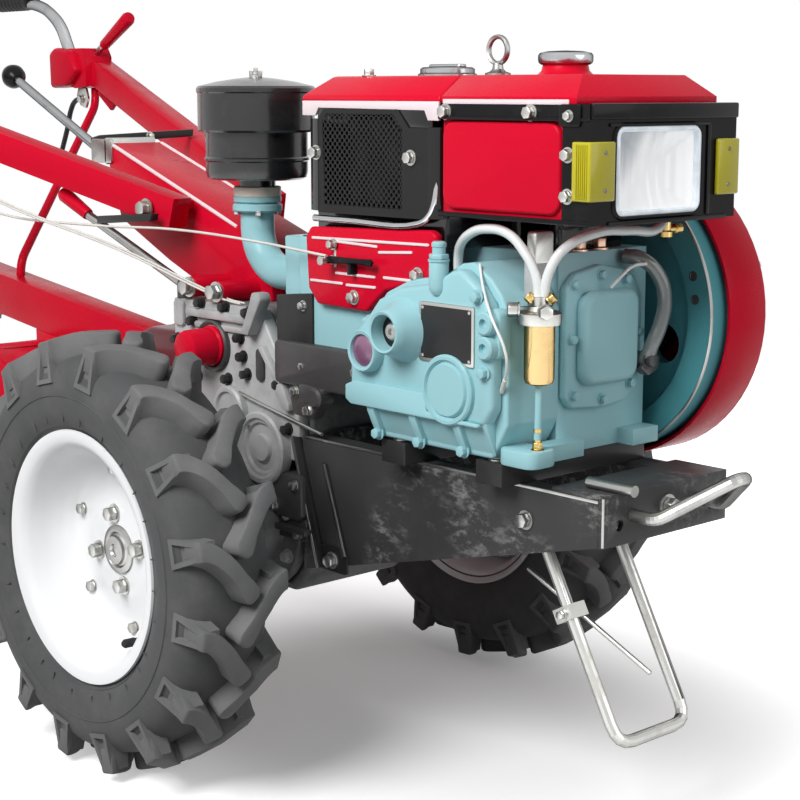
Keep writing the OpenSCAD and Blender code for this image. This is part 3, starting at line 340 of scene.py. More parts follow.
def rounded_edges(work, width, segments=2, corner=25.0):
    """Bevels every edge that is sharper than a corner. width is in millimetres."""
    sharp = [e for e in work.edges
             if len(e.link_faces) == 2 and e.calc_face_angle(0.0) > math.radians(corner)]
    bmesh.ops.bevel(work, geom=sharp, offset=width / 1000, offset_type="OFFSET", affect="EDGES",
                    segments=segments, profile=0.5, material=-1, clamp_overlap=True)
    return work


def lathe(profile, steps=48):
    """A turned shape round Z. The profile is (radius, height) in millimetres."""
    work = bmesh.new()
    line = [work.verts.new((radius / 1000, 0, height / 1000)) for radius, height in profile]
    edges = [work.edges.new(pair) for pair in zip(line, line[1:])]
    bmesh.ops.spin(work, geom=line + edges, cent=(0, 0, 0), axis=(0, 0, 1), angle=math.tau, steps=steps,
                   use_merge=True)
    bmesh.ops.remove_doubles(work, verts=work.verts, dist=1e-6)
    bmesh.ops.recalc_face_normals(work, faces=work.faces)
    return work


def placed(work, point, axis=(0, 0, 1), roll=0.0):
    """Moves a shape that stands on the origin along Z to a point, with its Z along the axis."""
    turn = Vector(axis).to_track_quat("Z", "Y").to_matrix().to_4x4()
    spot = Matrix.Translation(point) @ turn @ Matrix.Rotation(math.radians(roll), 4, "Z")
    bmesh.ops.transform(work, matrix=spot, verts=work.verts)
    return work


def turned(profile, place, axis=UP, steps=48):
    """A lathe profile stood at a place in millimetres, along an axis."""
    return placed(lathe(profile, steps), at(*place), axis)


def joined(*parts):
    """One bmesh from several, which it uses up."""
    whole = bmesh.new()
    for part in parts:
        data = bpy.data.meshes.new("part")
        part.to_mesh(data)
        part.free()
        whole.from_mesh(data)
        bpy.data.meshes.remove(data)
    return whole


LAY = {"x": lambda u, v, w: (w, u, v), "y": lambda u, v, w: (u, w, v), "z": lambda u, v, w: (u, v, w)}


def plate(outline, axis, low, high, edge=1.0, segments=2):
    """An outline in millimetres, thickened along an axis from low to high, with rounded edges."""
    work = bmesh.new()
    face = work.faces.new([work.verts.new(at(*LAY[axis](u, v, low))) for u, v in outline])
    raised = bmesh.ops.extrude_face_region(work, geom=[face])["geom"]
    shift = at(*LAY[axis](0, 0, high)) - at(*LAY[axis](0, 0, low))
    bmesh.ops.translate(work, vec=shift, verts=[v for v in raised if isinstance(v, bmesh.types.BMVert)])
    bmesh.ops.recalc_face_normals(work, faces=work.faces)
    return rounded_edges(work, edge, segments) if edge else work


def box_outline(u0, v0, u1, v1, round_off=0.0, steps=4):
    """A rectangle's outline with rounded corners."""
    if not round_off:
        return [(u0, v0), (u1, v0), (u1, v1), (u0, v1)]
    corners = [(u1 - round_off, v0 + round_off, -90), (u1 - round_off, v1 - round_off, 0),
               (u0 + round_off, v1 - round_off, 90), (u0 + round_off, v0 + round_off, 180)]
    return [(u + round_off * math.cos(math.radians(start + 90 * i / steps)),
             v + round_off * math.sin(math.radians(start + 90 * i / steps)))
            for u, v, start in corners for i in range(steps + 1)]


def slab(u0, v0, u1, v1, round_off, axis, low, high, edge=1.0, segments=2):
    """A plate with a rectangular outline whose corners are rounded."""
    return plate(box_outline(u0, v0, u1, v1, round_off), axis, low, high, edge, segments)


def hex_head(across, rise=0.62, washer=1.5):
    """A hexagon head on its washer. across is the width over the flats in millimetres."""
    thick = across * 0.12
    head = bmesh.new()
    bmesh.ops.create_cone(head, cap_ends=True, segments=6, radius1=across / 1732, radius2=across / 1732,
                          depth=across * rise / 1000)
    bmesh.ops.translate(head, vec=(0, 0, (thick + across * rise / 2) / 1000), verts=head.verts)
    rounded_edges(head, across * 0.07)
    ring = lathe([(0, 0), (across * washer / 2, 0), (across * washer / 2, thick), (0, thick)], 20)
    return joined(head, ring)


def bolts(name, places, axis, across, material, slot, body=BODY, rise=0.62):
    """Hexagon heads at places in millimetres, standing along the axis, as one piece."""
    heads = [placed(hex_head(across, rise), at(*place), axis, roll=37 * i) for i, place in enumerate(places)]
    as_piece(joined(*heads), name, material, slot, body=body)


def tube(name, route, radius, material, slot, stands_for=()):
    """A round bar or hose through places in millimetres, as a curve with a round section."""
    data = bpy.data.curves.new(name, "CURVE")
    data.dimensions = "3D"
    data.bevel_depth = radius / 1000
    data.bevel_resolution = 3
    data.resolution_u = 6
    data.use_fill_caps = True
    line = data.splines.new("BEZIER")
    line.bezier_points.add(len(route) - 1)
    for knot, place in zip(line.bezier_points, route):
        knot.co = at(*place)
        knot.handle_left_type = knot.handle_right_type = "AUTO"
    line.use_smooth = True
    data.materials.append(material)
    fitted(name, data, slot, stands_for, BODY)


print("shape helpers ready")

# %% [markdown]
# The solids of the frame have knife edges, but pressed sheet and castings never do. Each shown solid is
# copied, its triangles are welded and dissolved back to flat faces, and every sharp edge gets a small
# bevel. The copy stands in for the solid and rides on the same body.


# %% Soften the edges of the frame's solids
def softened(node, material, width):
    """A copy of a node's solid with bevelled edges, shown in the node's place. width is in millimetres."""
    work = bmesh.new()
    work.from_mesh(nodes[node].data)
    bmesh.ops.remove_doubles(work, verts=work.verts, dist=2e-05)
    bmesh.ops.dissolve_limit(work, angle_limit=math.radians(1.0), verts=work.verts, edges=work.edges)
    rounded_edges(work, width)
    as_piece(work, node + "_shell", material, node, [node], body=nodes[node]["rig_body"], angle=40.0)


SHELLS = {
    "frame": (SCUFFED, 1.5), "mount_bars": (BLACK, 1.5), "bumper": (SCUFFED, 1.5), "crankcase": (TEAL, 4),
    "cylinder": (TEAL, 5), "radiator": (GLOSS_BLACK, 3),
    "hood": (RED, 6), "fuel_tank": (RED, 7), "side_lamps": (AMBER, 2), "gearbox_case": (IRON, 8),
    "gearbox_covers": (IRON_PALE, 3), "handle_box": (RED, 5), "handle_arms": (RED, 5),
    "rear_beam": (RED, 5), "hitch": (MAROON, 6), "chain_case": (IRON_DARK, 4), "belt_guard": (RED, 1.2),
    "tiller_hood": (RED, 1.2), "tail_fork": (BLACK, 1.5), "axles": (IRON, 3),
}
for node, (material, width) in SHELLS.items():
    softened(node, material, width)
print("softened shells:", len(SHELLS))

# %% [markdown]
# The remaining solids already have their true form, so they keep their meshes and only take a finish.

# %% Finish the plain nodes
PLAIN = {
    "bumper_loop": STEEL, "front_stand": ZINC, "intake_elbow": TEAL, "silencer": MATT_BLACK,
    "flywheel": TEAL_DARK, "drive_belts": SOFT_BLACK, "clutch_pulley": IRON_DARK, "grips": SOFT_BLACK,
    "lamp_housing": BLACK_PLASTIC,
    "tine_reel": FORGED, "tail_wheel": TYRE,
}
for node, material in PLAIN.items():
    shade(nodes[node], material, 35.0)
print("plain nodes:", len(PLAIN))

# %% [markdown]
# The wheel is a pressed steel dish, white inside its black tyre. A pressing is round all over, so its
# section is spun: from the raised middle down into the dish, out to the rolled lip, and back along the
# tyre's seat. The right and left wheels mirror each other, so the same shapes are laid out twice.

# %% Wheel dishes
TRACK_HALF = 355
RIM_SECTION = [(0, -5), (60, -5), (68, -7), (80, -11), (96, -15), (110, -15), (122, -9), (132, 6), (139, 26),
               (144, 44), (149, 54), (156, 58), (164, 60), (169, 60), (170, 57), (168, 53), (162, 50),
               (155, 48),
               (152, 44), (152, -44), (155, -48), (162, -50), (168, -53), (169, -56), (168, -58), (164, -57),
               (156, -52), (148, -44), (142, 20), (128, -14), (114, -23), (96, -23), (80, -19), (66, -15),
               (40, -13), (38, -16), (38, -84), (0, -84)]
CAP_SECTION = [(33, -6), (33, -2), (29, 0), (25, 0), (23, -2), (20, 0), (19, 4), (9, 5), (7, 2), (3, 2),
               (0, 3)]
HUB_BOLT_R, RIM_BOLT_R = 49, 108


def on_wheel(work, side):
    """Lays a shape that stands along Z on the right wheel's axle (side -1) or the left one's."""
    spot = Matrix.Translation(at(0, side * TRACK_HALF, AXLE_UP)) @ Matrix.Diagonal((1, -side, 1, 1))
    bmesh.ops.transform(work, matrix=spot @ Matrix.Rotation(math.pi / 2, 4, "X"), verts=work.verts)
    bmesh.ops.recalc_face_normals(work, faces=work.faces)
    return work


def round_the_wheel(make, radius, height, angles):
    """Copies of a shape standing on the dish at a radius, one for each angle in degrees."""
    copies = []
    for angle in angles:
        a = math.radians(angle)
        spot = Vector((radius * math.cos(a), radius * math.sin(a), height)) / 1000
        copies.append(placed(make(), spot, roll=angle))
    return joined(*copies)


for side, word in ((-1, "right"), (1, "left")):
    body, slot = (word + "_wheel", word + "_rim")
    as_piece(on_wheel(lathe(RIM_SECTION, 96), side), word + "_dish", WHITE, slot, [slot], body=body, angle=40)
    as_piece(on_wheel(lathe(CAP_SECTION), side), word + "_hub_cap", STEEL, slot, body=body)
    hub = round_the_wheel(lambda: hex_head(17, 0.7), HUB_BOLT_R, -5, [11, 101, 191, 281])
    rim = round_the_wheel(lambda: hex_head(13, 0.6, 1.3), RIM_BOLT_R, -15, range(40, 400, 60))
    as_piece(on_wheel(joined(hub, rim), side), word + "_wheel_bolts", ZINC, slot, body=body)
    valve = placed(lathe([(0, 0), (5, 0), (5, 14), (4, 16), (6, 17), (6, 34), (4, 37), (0, 37)], 16),
                   Vector((0.046, -0.116, -0.008)), (0.2, 0.1, 1))
    as_piece(on_wheel(valve, side), word + "_valve", SOFT_BLACK, word + "_tyre", body=body)
print("wheel dishes with", 4 + 6, "bolts each")

# %% [markdown]
# A mould leaves fine raised ribs on a tyre's side wall: two rings, and short dashes that point at the
# hub. They catch the light as thin lines. The rings are spun and each dash is a small block, dull like
# the tyre. The casing itself is spun too. A farm tyre's lug starts as a rounded knob near the middle of
# the tread, sweeps across it and ends at the shoulder in a frame with a hollow. The bar is one face
# extruded through a row of sections, and the frame's hollow is an inset pushed in. Both are copied round,
# the other side's lugs half a step on.

# %% Tyre casing, lugs and mould ribs
random.seed(4)
LUGS, SWEEP, TREAD_R, ACROSS = 16, 62, 281, 68
HALF_CASING = [(157, 54), (171, 54), (180, 63), (198, 69), (222, 70), (236, 68), (247, 63), (256, 55),
               (262, 45), (266, 30), (267.5, 15)]
CASING = HALF_CASING + [(268, 0)] + [(r, -h) for r, h in HALF_CASING[::-1]] + [HALF_CASING[0]]


def swept(sections):
    """A bar through sections of equally many points: one face, extruded from each section to the next."""
    work = bmesh.new()
    face = work.faces.new([work.verts.new(point) for point in sections[0]])
    for section in sections[1:]:
        grown = bmesh.ops.extrude_face_region(work, geom=[face])["geom"]
        face = next(f for f in grown if isinstance(f, bmesh.types.BMFace))
        for vert, point in zip(face.verts, section):
            vert.co = point
    walls = [f for f in work.faces if all((len(edge.link_faces) > 2 for edge in f.edges))]
    bmesh.ops.delete(work, geom=walls, context="FACES_ONLY")
    bmesh.ops.recalc_face_normals(work, faces=work.faces)
    return work


def on_tread(along, axial, radius):
    """A place on the wheel: a length along the tread, one across it and a radius."""
    turn = along / TREAD_R
    return Vector((radius * math.cos(turn), radius * math.sin(turn), axial)) / 1000


def lug():
    rows = []
    for k in range(-2, 11):
        t = max(k, 0) / 10
        turn = math.atan2(SWEEP * math.pi / 2 * math.cos(t * math.pi / 2), ACROSS)
        along, axial = (SWEEP * math.sin(t * math.pi / 2), -3 + ACROSS * t)
        along, axial = (along + min(k, 0) * 5 * math.sin(turn), axial + min(k, 0) * 5 * math.cos(turn))
        width = {-2: 13, -1: 22, 0: 26, 1: 24}.get(k, 20 + 6 * t * t)
        top = 295 - 9 * max(0, abs(axial) - 24) / 46 - (2 if k == -2 else 0)
        step = (math.cos(turn) / 2, -math.sin(turn) / 2)
        section = ((-1, 9, 254), (-1, 0, top), (1, 0, top), (1, 9, 254))
        rows.append([on_tread(along + way * step[0] * (width + flare),
                              axial + way * step[1] * (width + flare), radius)
                     for way, flare, radius in section])
    bar = rounded_edges(swept(rows), 3, 2, 40.0)
    corners = [(-23, 233), (-11, 283), (11, 283), (23, 233)]
    near = [on_tread(SWEEP + along, 38, radius) for along, radius in corners]
    far = [on_tread(SWEEP + along, 71.5 if radius < 250 else 64, radius) for along, radius in corners]
    frame = swept([near, far])
    frame.normal_update()
    outer = max(frame.faces, key=lambda f: f.calc_center_median().z)
    bmesh.ops.inset_region(frame, faces=[outer], thickness=0.006, use_even_offset=True)
    frame.normal_update()
    bmesh.ops.inset_region(frame, faces=[outer], thickness=0.001, depth=-0.006, use_even_offset=True)
    return joined(bar, frame)


def side_wall_dash():
    work = bmesh.new()
    bmesh.ops.create_cube(work, size=1.0)
    bmesh.ops.scale(work, vec=(random.uniform(0.008, 0.016), 0.0018, 0.002), verts=work.verts)
    return rounded_edges(work, 0.5, 1)


for side, word in ((-1, "right"), (1, "left")):
    rings = [lathe([(r - 3, h - 3), (r, h + 1.2), (r + 3, h - 3)], 96) for r, h in ((176, 59), (216, 70))]
    lugs = []
    for first, flip in ((0, 1), (0.5, -1)):
        for i in range(LUGS):
            work = lug()
            turn = Matrix.Rotation(math.tau * (i + first) / LUGS, 4, "Z") @ Matrix.Diagonal((1, 1, flip, 1))
            bmesh.ops.transform(work, matrix=turn, verts=work.verts)
            lugs.append(work)
    as_piece(on_wheel(lathe(CASING, 128), side), word + "_casing", TYRE, word + "_tyre", [word + "_tyre"],
             body=word + "_wheel", angle=50)
    dashes = round_the_wheel(side_wall_dash, 187, 66.3, [13.3 * i + random.uniform(-3, 3) for i in range(27)])
    as_piece(on_wheel(joined(*rings, dashes), side), word + "_side_wall", TYRE, word + "_tyre",
             body=word + "_wheel")
    as_piece(on_wheel(joined(*lugs), side), word + "_lugs", LUG_RUBBER, word + "_tyre", body=word + "_wheel",
             angle=40)
print("two tyres with", 2 * LUGS, "lugs each")

# %% [markdown]
# The gear case is the face of the engine: a cast cover with a wide flange, a raised body, a sloping skirt
# with three wedge ribs, and a round boss. One block could carry a painted picture of this, but the edges
# would not catch the light, so each step of the casting is a plate with rounded edges, and they are
# joined into one piece.

# %% Gear case casting
GEAR_FACE, GEAR_STEP, GEAR_BACK = -170, -150, -60
FLANGE = [(300, 467), (500, 467), (514, 491), (524, 509), (524, 642), (513, 664), (496, 682), (466, 700),
          (446, 697),
          (414, 680), (356, 671), (312, 652), (296, 634), (260, 598), (256, 560), (256, 502), (282, 500)]
RAISED = [(284, 509), (505, 509), (517, 530), (517, 640), (508, 657), (492, 674), (464, 693), (448, 690),
          (416, 672), (358, 663), (318, 645), (303, 628), (268, 594), (264, 560), (264, 520)]
RIB_X = (304, 381, 458)
casting_parts = [plate(FLANGE, "y", GEAR_STEP, GEAR_BACK, 4, 3),
                 plate(RAISED, "y", GEAR_FACE, GEAR_STEP + 2, 7, 3),
                 plate([(GEAR_STEP + 2, 470), (GEAR_STEP + 2, 514), (GEAR_FACE + 2, 514)], "x", 288, 506, 2),
                 plate([(262, 514), (272, 508), (500, 508), (500, 512), (412, 516), (408, 539), (280, 539),
                        (262, 532)], "y", GEAR_FACE - 6, GEAR_FACE + 2, 3),
                 slab(492, 590, 526, 650, 9, "y", GEAR_FACE + 4, GEAR_STEP + 4, 3),
                 turned([(44, -4), (43, 5), (41, 7), (37, 7), (34, 2), (33, 5), (31, 7), (0, 7)],
                        (447, GEAR_FACE, 547), RIGHT)]
casting_parts += [plate([(GEAR_STEP + 2, 470), (GEAR_STEP + 2, 516), (GEAR_FACE - 1, 516),
                         (GEAR_FACE - 1, 503), (GEAR_STEP - 6, 470)], "x", x - 7, x + 7, 3) for x in RIB_X]
casting_parts += [turned([(15, -14), (14, 6), (12, 8), (6, 8), (5, 2), (0, 2)],
                         (510, GEAR_FACE, z), RIGHT, 24) for z in (633, 604)]
casting_parts.append(turned([(42, -3), (36, 8), (29, 24), (27, 33), (25, 35), (22, 34), (21, 14), (0, 14)],
                            (366, GEAR_FACE, 611), RIGHT))
casting_parts.append(turned([(28, -2), (27, 12), (25, 15), (21, 14), (20, 8), (0, 8)],
                            (303, GEAR_FACE, 580), RIGHT))
print("gear case parts:", len(casting_parts))

# %% [markdown]
# The front of the crankcase has a pressed cover: a flat flange with eight screws, and a panel that bulges
# out with wide soft corners. The bulge is a plate with a wide bevel, which rounds its corners and its
# shoulders at once.

# %% Front cover
COVER_X, BULGE_X = 520, 548
COVER = [(-58, 534), (-46, 520), (10, 515), (52, 519), (74, 536), (82, 562), (82, 650), (68, 672),
         (46, 684), (4, 692), (-40, 684), (-58, 666)]
COVER_BOLTS = [(532, 3, 680), (532, -45, 671), (532, -49, 605), (532, -44, 536), (532, 9, 526),
               (532, 60, 541), (532, 73, 604), (532, 48, 672)]
casting_parts += [plate(COVER, "x", COVER_X - 1, COVER_X + 12, 3, 3),
                  slab(-40, 546, 62, 662, 20, "x", COVER_X + 8, BULGE_X, 13, 4)]
as_piece(joined(*casting_parts), "engine_castings", TEAL, "engine_covers", ["engine_covers"], angle=35)
print("front cover with", len(COVER_BOLTS), "screws")

# %% [markdown]
# Screws, a sight plug, a dark bare plate with a bright rim, and the hand-crank socket dress the castings.
# They are separate pieces because each has its own finish.

# %% Gear case fittings
CASE_BOLTS = [(x, GEAR_STEP - 5, 472) for x in RIB_X]
CASE_BOLTS += [(263, -152, 530), (494, -170, 663), (506, -170, 574), (284, -152, 612)]
bolts("gear_case_bolts", CASE_BOLTS, RIGHT, 12, TEAL, "engine_covers")
bolts("front_cover_bolts", COVER_BOLTS, FRONT, 10, TEAL, "engine_covers")
PLATE_BOX = (396, 578, 490, 650)
as_piece(slab(*PLATE_BOX, 3, "y", GEAR_FACE - 2.4, GEAR_FACE + 1, 0.6), "data_plate_rim", ZINC,
         "engine_covers")
x0, z0, x1, z1 = PLATE_BOX
as_piece(slab(x0 + 4, z0 + 4, x1 - 4, z1 - 4, 2, "y", GEAR_FACE - 3, GEAR_FACE, 0.4), "data_plate", BLACK,
         "engine_covers")
rivets = [turned([(2.4, 0), (2, 1), (0, 1.5)], (x, GEAR_FACE - 2.8, z), RIGHT, 12) for x in (x0 + 7, x1 - 7)
          for z in (z0 + 7, z1 - 7)]
as_piece(joined(*rivets), "data_plate_rivets", ZINC, "engine_covers")
as_piece(turned([(24, 33.5), (22.3, 32), (21.3, 15), (10, 14.5), (0, 14.5)], (366, GEAR_FACE, 611), RIGHT),
         "crank_socket", MATT_BLACK, "engine_covers")
as_piece(turned([(11, 14), (11, 20), (9, 22), (4, 22), (3, 18), (0, 18)], (366, GEAR_FACE, 611), RIGHT, 24),
         "crank_pin", ZINC, "engine_covers")
as_piece(turned([(20.5, 10), (17, 12.5), (9, 14.5), (0, 15)], (303, GEAR_FACE, 580), RIGHT, 32),
         "sight_plug", VIOLET, "engine_covers")
breather = joined(lathe([(0, 0), (7, 1), (11, 6), (12, 12), (12, 40), (11, 42), (0, 42)], 28),
                  placed(hex_head(22, 0.3, 1.2), (0, 0, 0.041)),
                  placed(lathe([(8, 0), (8, 10), (9, 11), (9, 15), (7, 17), (0, 17)], 24), (0, 0, 0.048)))
as_piece(placed(breather, at(424, GEAR_FACE + 4, 658)), "breather_fitting", TEAL, "engine_covers")
tube("sender_wire", [(474, -147, 698), (492, -160, 676), (520, -175, 645), (545, -175, 602), (541, -169, 584),
                     (530, -160, 568)], 1.8, HOSE, "engine_covers")
tube("sender_wire_end", [(530, -160, 568), (517, -152, 551)], 3, CABLE, "engine_covers")
print("gear case dressed")

# %% [markdown]
# Fuel runs from a brass tap under the tank to a filter with a gold bowl, and on to the pump, through two
# clear hoses. A grey hose lets the crankcase breathe. A hose could be swept as a mesh, but a curve with a
# round section bends as softly as the real thing, so each runs close to its solid's route. The filter is
# turned, like the real one.

# %% Fuel filter, hoses and tap
FILTER = (554, -128)
PUMP_ROUTE = [(552, -128, 664), (546, -128, 690), (530, -131, 716), (506, -133, 735), (472, -134, 739),
              (440, -130, 731), (416, -122, 716), (405, -115, 702), (400, -110, 672)]
TANK_ROUTE = [(556, -124, 664), (562, -122, 694), (572, -108, 720), (590, -70, 738), (596, -20, 738),
              (590, 40, 738), (586, 58, 754)]
BREATHER_ROUTE = [(526, 52, 699), (546, 62, 696), (560, 78, 676), (564, 86, 646), (562, 82, 616),
                  (556, 74, 590), (548, 72, 574), (530, 72, 570)]
tube("pump_hose", PUMP_ROUTE, 6, HOSE, "hoses", ["hoses"])
tube("tank_hose", TANK_ROUTE, 6, HOSE, "hoses")
tube("breather_hose", BREATHER_ROUTE, 9.5, BREATHER, "hoses")
bowl = lathe([(0, 0), (11, 0), (16, 2), (18, 7), (18, 68), (19, 70), (0, 70)])
as_piece(placed(bowl, at(*FILTER, 562)), "filter_bowl", GOLD, "fuel_filter", ["fuel_filter"])
head = lathe([(19, 0), (25, 1), (26, 4), (26, 14), (23, 16), (15, 17), (14, 22), (9, 23), (9, 33), (0, 33)],
             40)
arm = slab(526, 640, 556, 652, 4, "y", -136, -120, 2)
unions = [placed(hex_head(15, 0.8, 1.2), at(554 + dx, -128 + dy, 650), (dx, dy, 0))
          for dx, dy in ((-16, -18), (20, -14))]
as_piece(joined(placed(head, at(*FILTER, 632)), arm, *unions), "filter_head", ZINC, "fuel_filter")
nuts = [placed(hex_head(11, 0.7, 1.3), at(x, y, 660), (x - 554, y + 128, 8))
        for x, y in ((562, -122), (547, -133))]
as_piece(joined(*nuts), "filter_unions", BRASS, "fuel_filter")
tube("filter_drain", [(554, -128, 562), (554, -128, 530), (553, -128, 496)], 4.5, TEAL, "fuel_filter")
foot = joined(placed(hex_head(11, 0.8), at(553, -128, 483)),
              turned([(4, 0), (4, 12), (5, 13), (5, 17), (0, 19)], (553, -128, 492), steps=16))
as_piece(foot, "drain_nut", BRASS, "fuel_filter")
as_piece(slab(508, -152, 566, -104, 14, "z", 463, 484, 3), "engine_foot", TEAL, "crankcase")
tap = joined(turned([(9, 0), (9, 8), (6, 10), (6, 22), (8, 24), (8, 30), (4, 32), (0, 32)],
                    (586, 58, 756), DOWN, 20),
             turned([(4, 0), (4, 16), (6, 17), (6, 26), (0, 27)], (586, 58, 735), LEFT, 16))
as_piece(tap, "fuel_tap", BRASS, "fuel_filter")
bolts("pipe_unions", [(508, -12, 708), (508, 26, 708)], UP, 17, COPPER, "hoses", rise=0.7)
banjo = joined(plate([(60, 560), (78, 582), (96, 572), (92, 556), (74, 550)], "x", 536, 552, 2),
               placed(hex_head(15, 0.5), at(552, 72, 570), FRONT))
as_piece(banjo, "breather_banjo", IRON_DARK, "hoses")
tube("vent_wire", [(546, 5, 665), (556, 14, 680), (558, 28, 689), (556, 58, 691)], 2.4, HOSE, "hoses")
as_piece(slab(-116, 700, -84, 738, 5, "x", 520, 534, 2), "pump_block", ZINC, "hoses")
as_piece(slab(-112, 652, -88, 706, 3, "x", 512, 531, 2), "pump_block_foot", IRON_PALE, "hoses")
print("fuel line laid")

# %% [markdown]
# The red panel beside the cylinder is stamped with long shallow beads that stiffen it. A bead is a slim
# bar let into the face, coloured pale as a painted highlight for the bright line it shows. The panel is an
# outline given depth, its edges rolled over. The throttle lever, its pin and two screws sit on it.

# %% Side panel beads and throttle
PANEL_Y = -140
BEADS = [((156, 710), (380, 714)), ((203, 708), (285, 706)), ((287, 699), (350, 703)),
         ((203, 667), (281, 667)),
         ((296, 668), (350, 668)), ((152, 654), (218, 654)), ((224, 653), (282, 654)),
         ((203, 700), (203, 674))]


def bead(start, end):
    length = math.dist(start, end)
    bar = slab(0, -1.8, length, 1.8, 1.7, "y", -1.6, 0.6, 0.8)
    turn = Matrix.Rotation(-math.atan2(end[1] - start[1], end[0] - start[0]), 4, "Y")
    spot = Matrix.Translation(at(start[0], PANEL_Y, start[1])) @ turn @ Matrix.Translation(-at(0, 0, 0))
    bmesh.ops.transform(bar, matrix=spot, verts=bar.verts)
    return bar


sheet = plate([(141, 711), (151, 724), (381, 732), (392, 726), (388, 676), (336, 661), (297, 651), (276, 634),
               (262, 621), (164, 623), (146, 643)], "y", PANEL_Y, PANEL_Y + 13, 4, 3)
as_piece(sheet, "panel_sheet", RED, "side_panel", ["side_panel"])
# Painted highlights: the beads are pale, where the pressed ridges are the panel's red.
as_piece(joined(*[bead(*ends) for ends in BEADS]), "panel_beads", PALE, "side_panel")
bolts("panel_bolts", [(360, PANEL_Y, 676), (240, PANEL_Y, 638)], RIGHT, 13, ZINC, "side_panel")
throttle = joined(turned([(6, 0), (6, 5), (3.5, 6), (3.5, 18), (6, 19), (6, 25), (0, 26)],
                         (201, PANEL_Y, 684), RIGHT, 16),
                  placed(hex_head(10, 0.8), at(201, PANEL_Y - 2, 704), RIGHT))
as_piece(throttle, "throttle_pin", ZINC, "levers")
lever = joined(plate([(196, 686), (204, 690), (262, 690), (286, 691), (290, 687), (286, 681), (262, 683),
                      (204, 680), (196, 681)], "y", PANEL_Y - 15, PANEL_Y - 10, 1.5),
               slab(239, 668, 246, 683, 1, "y", PANEL_Y - 12, PANEL_Y + 1, 1))
as_piece(lever, "throttle_lever", BLACK_PLASTIC, "levers")
print("panel beads:", len(BEADS))

# %% [markdown]
# The radiator breathes through a perforated sheet. Hundreds of cut holes would be slow to make one by
# one. A grid whose corners are all bevelled turns into a net of eight-sided cells, and cells that are
# inset and emptied are round enough holes. The grid is turned by 45 degrees, which staggers its rows, and
# then trimmed to the field.

# %% Perforated grille
SHEET_Y = -143
PITCH = 6.6
FIELD = [(185, 755), (333, 755), (333, 853), (318, 871), (188, 871), (181, 860)]
PANEL = [(172, 744), (382, 745), (384, 855), (345, 855), (325, 877), (184, 877), (171, 862)]


def trimmed(work, outline):
    """Keeps the part of a flat mesh that lies inside a convex outline in the X and Z of the grille."""
    for (u0, v0), (u1, v1) in zip(outline, outline[1:] + outline[:1]):
        bmesh.ops.bisect_plane(work, geom=work.verts[:] + work.edges[:] + work.faces[:],
                               plane_co=at(u0, SHEET_Y, v0),
                               plane_no=(v1 - v0, 0, u0 - u1), clear_outer=True)
    return work


net = bmesh.new()
bmesh.ops.create_grid(net, x_segments=32, y_segments=32, size=PITCH * 16 / 1000)
bmesh.ops.bevel(net, geom=net.verts[:], offset=PITCH * 0.28 / 1000, offset_type="OFFSET", affect="VERTICES",
                segments=1, profile=0.5, material=-1, clamp_overlap=True)
holes = [f for f in net.faces if len(f.verts) == 8]
bmesh.ops.inset_individual(net, faces=holes, thickness=PITCH * 0.13 / 1000)
bmesh.ops.delete(net, geom=holes, context="FACES")
stand = (Matrix.Translation(at(258, SHEET_Y, 814)) @ Matrix.Rotation(math.pi / 2, 4, "X")
         @ Matrix.Rotation(math.pi / 4, 4, "Z"))
bmesh.ops.transform(net, matrix=stand, verts=net.verts)
trimmed(net, FIELD)
bmesh.ops.solidify(net, geom=net.faces[:], thickness=0.0016)
print("grille holes:", len(holes), "cut, then trimmed to", len(net.faces), "faces")

# %% [markdown]
# Round the field runs a plain border, and glossy cheeks bend back from it to the radiator's sides. The
# border is a face, inset, whose middle is moved to the field's outline and taken out. Each cheek is a
# short bent line drawn up into a sheet.

# %% Grille border and cheeks
border = bmesh.new()
window = border.faces.new([border.verts.new(at(u, SHEET_Y, v)) for u, v in PANEL])
border.normal_update()
bmesh.ops.inset_region(border, faces=[window], thickness=0.004, use_boundary=True)
inner = [(186, 756), (332, 756), (332, 848), (331, 853), (317, 870), (189, 870), (182, 860)]
for vert, (u, v) in zip(window.verts, inner):
    vert.co = at(u, SHEET_Y, v)
bmesh.ops.delete(border, geom=[window], context="FACES")
bmesh.ops.recalc_face_normals(border, faces=border.faces)
bmesh.ops.solidify(border, geom=border.faces[:], thickness=0.002)
as_piece(joined(net, border), "grille_sheet", MATT_BLACK, "radiator_grille", ["radiator_grille"], angle=30)


def bent_sheet(section, low, high, thickness):
    """A bent line in X and Y, drawn up from low to high and given a wall."""
    work = bmesh.new()
    line = [work.verts.new(at(x, y, low)) for x, y in section]
    edges = [work.edges.new(pair) for pair in zip(line, line[1:])]
    drawn = bmesh.ops.extrude_edge_only(work, edges=edges)["geom"]
    bmesh.ops.translate(work, vec=(0, 0, (high - low) / 1000),
                        verts=[v for v in drawn if isinstance(v, bmesh.types.BMVert)])
    bmesh.ops.recalc_face_normals(work, faces=work.faces)
    bmesh.ops.solidify(work, geom=work.faces[:], thickness=thickness / 1000)
    return work


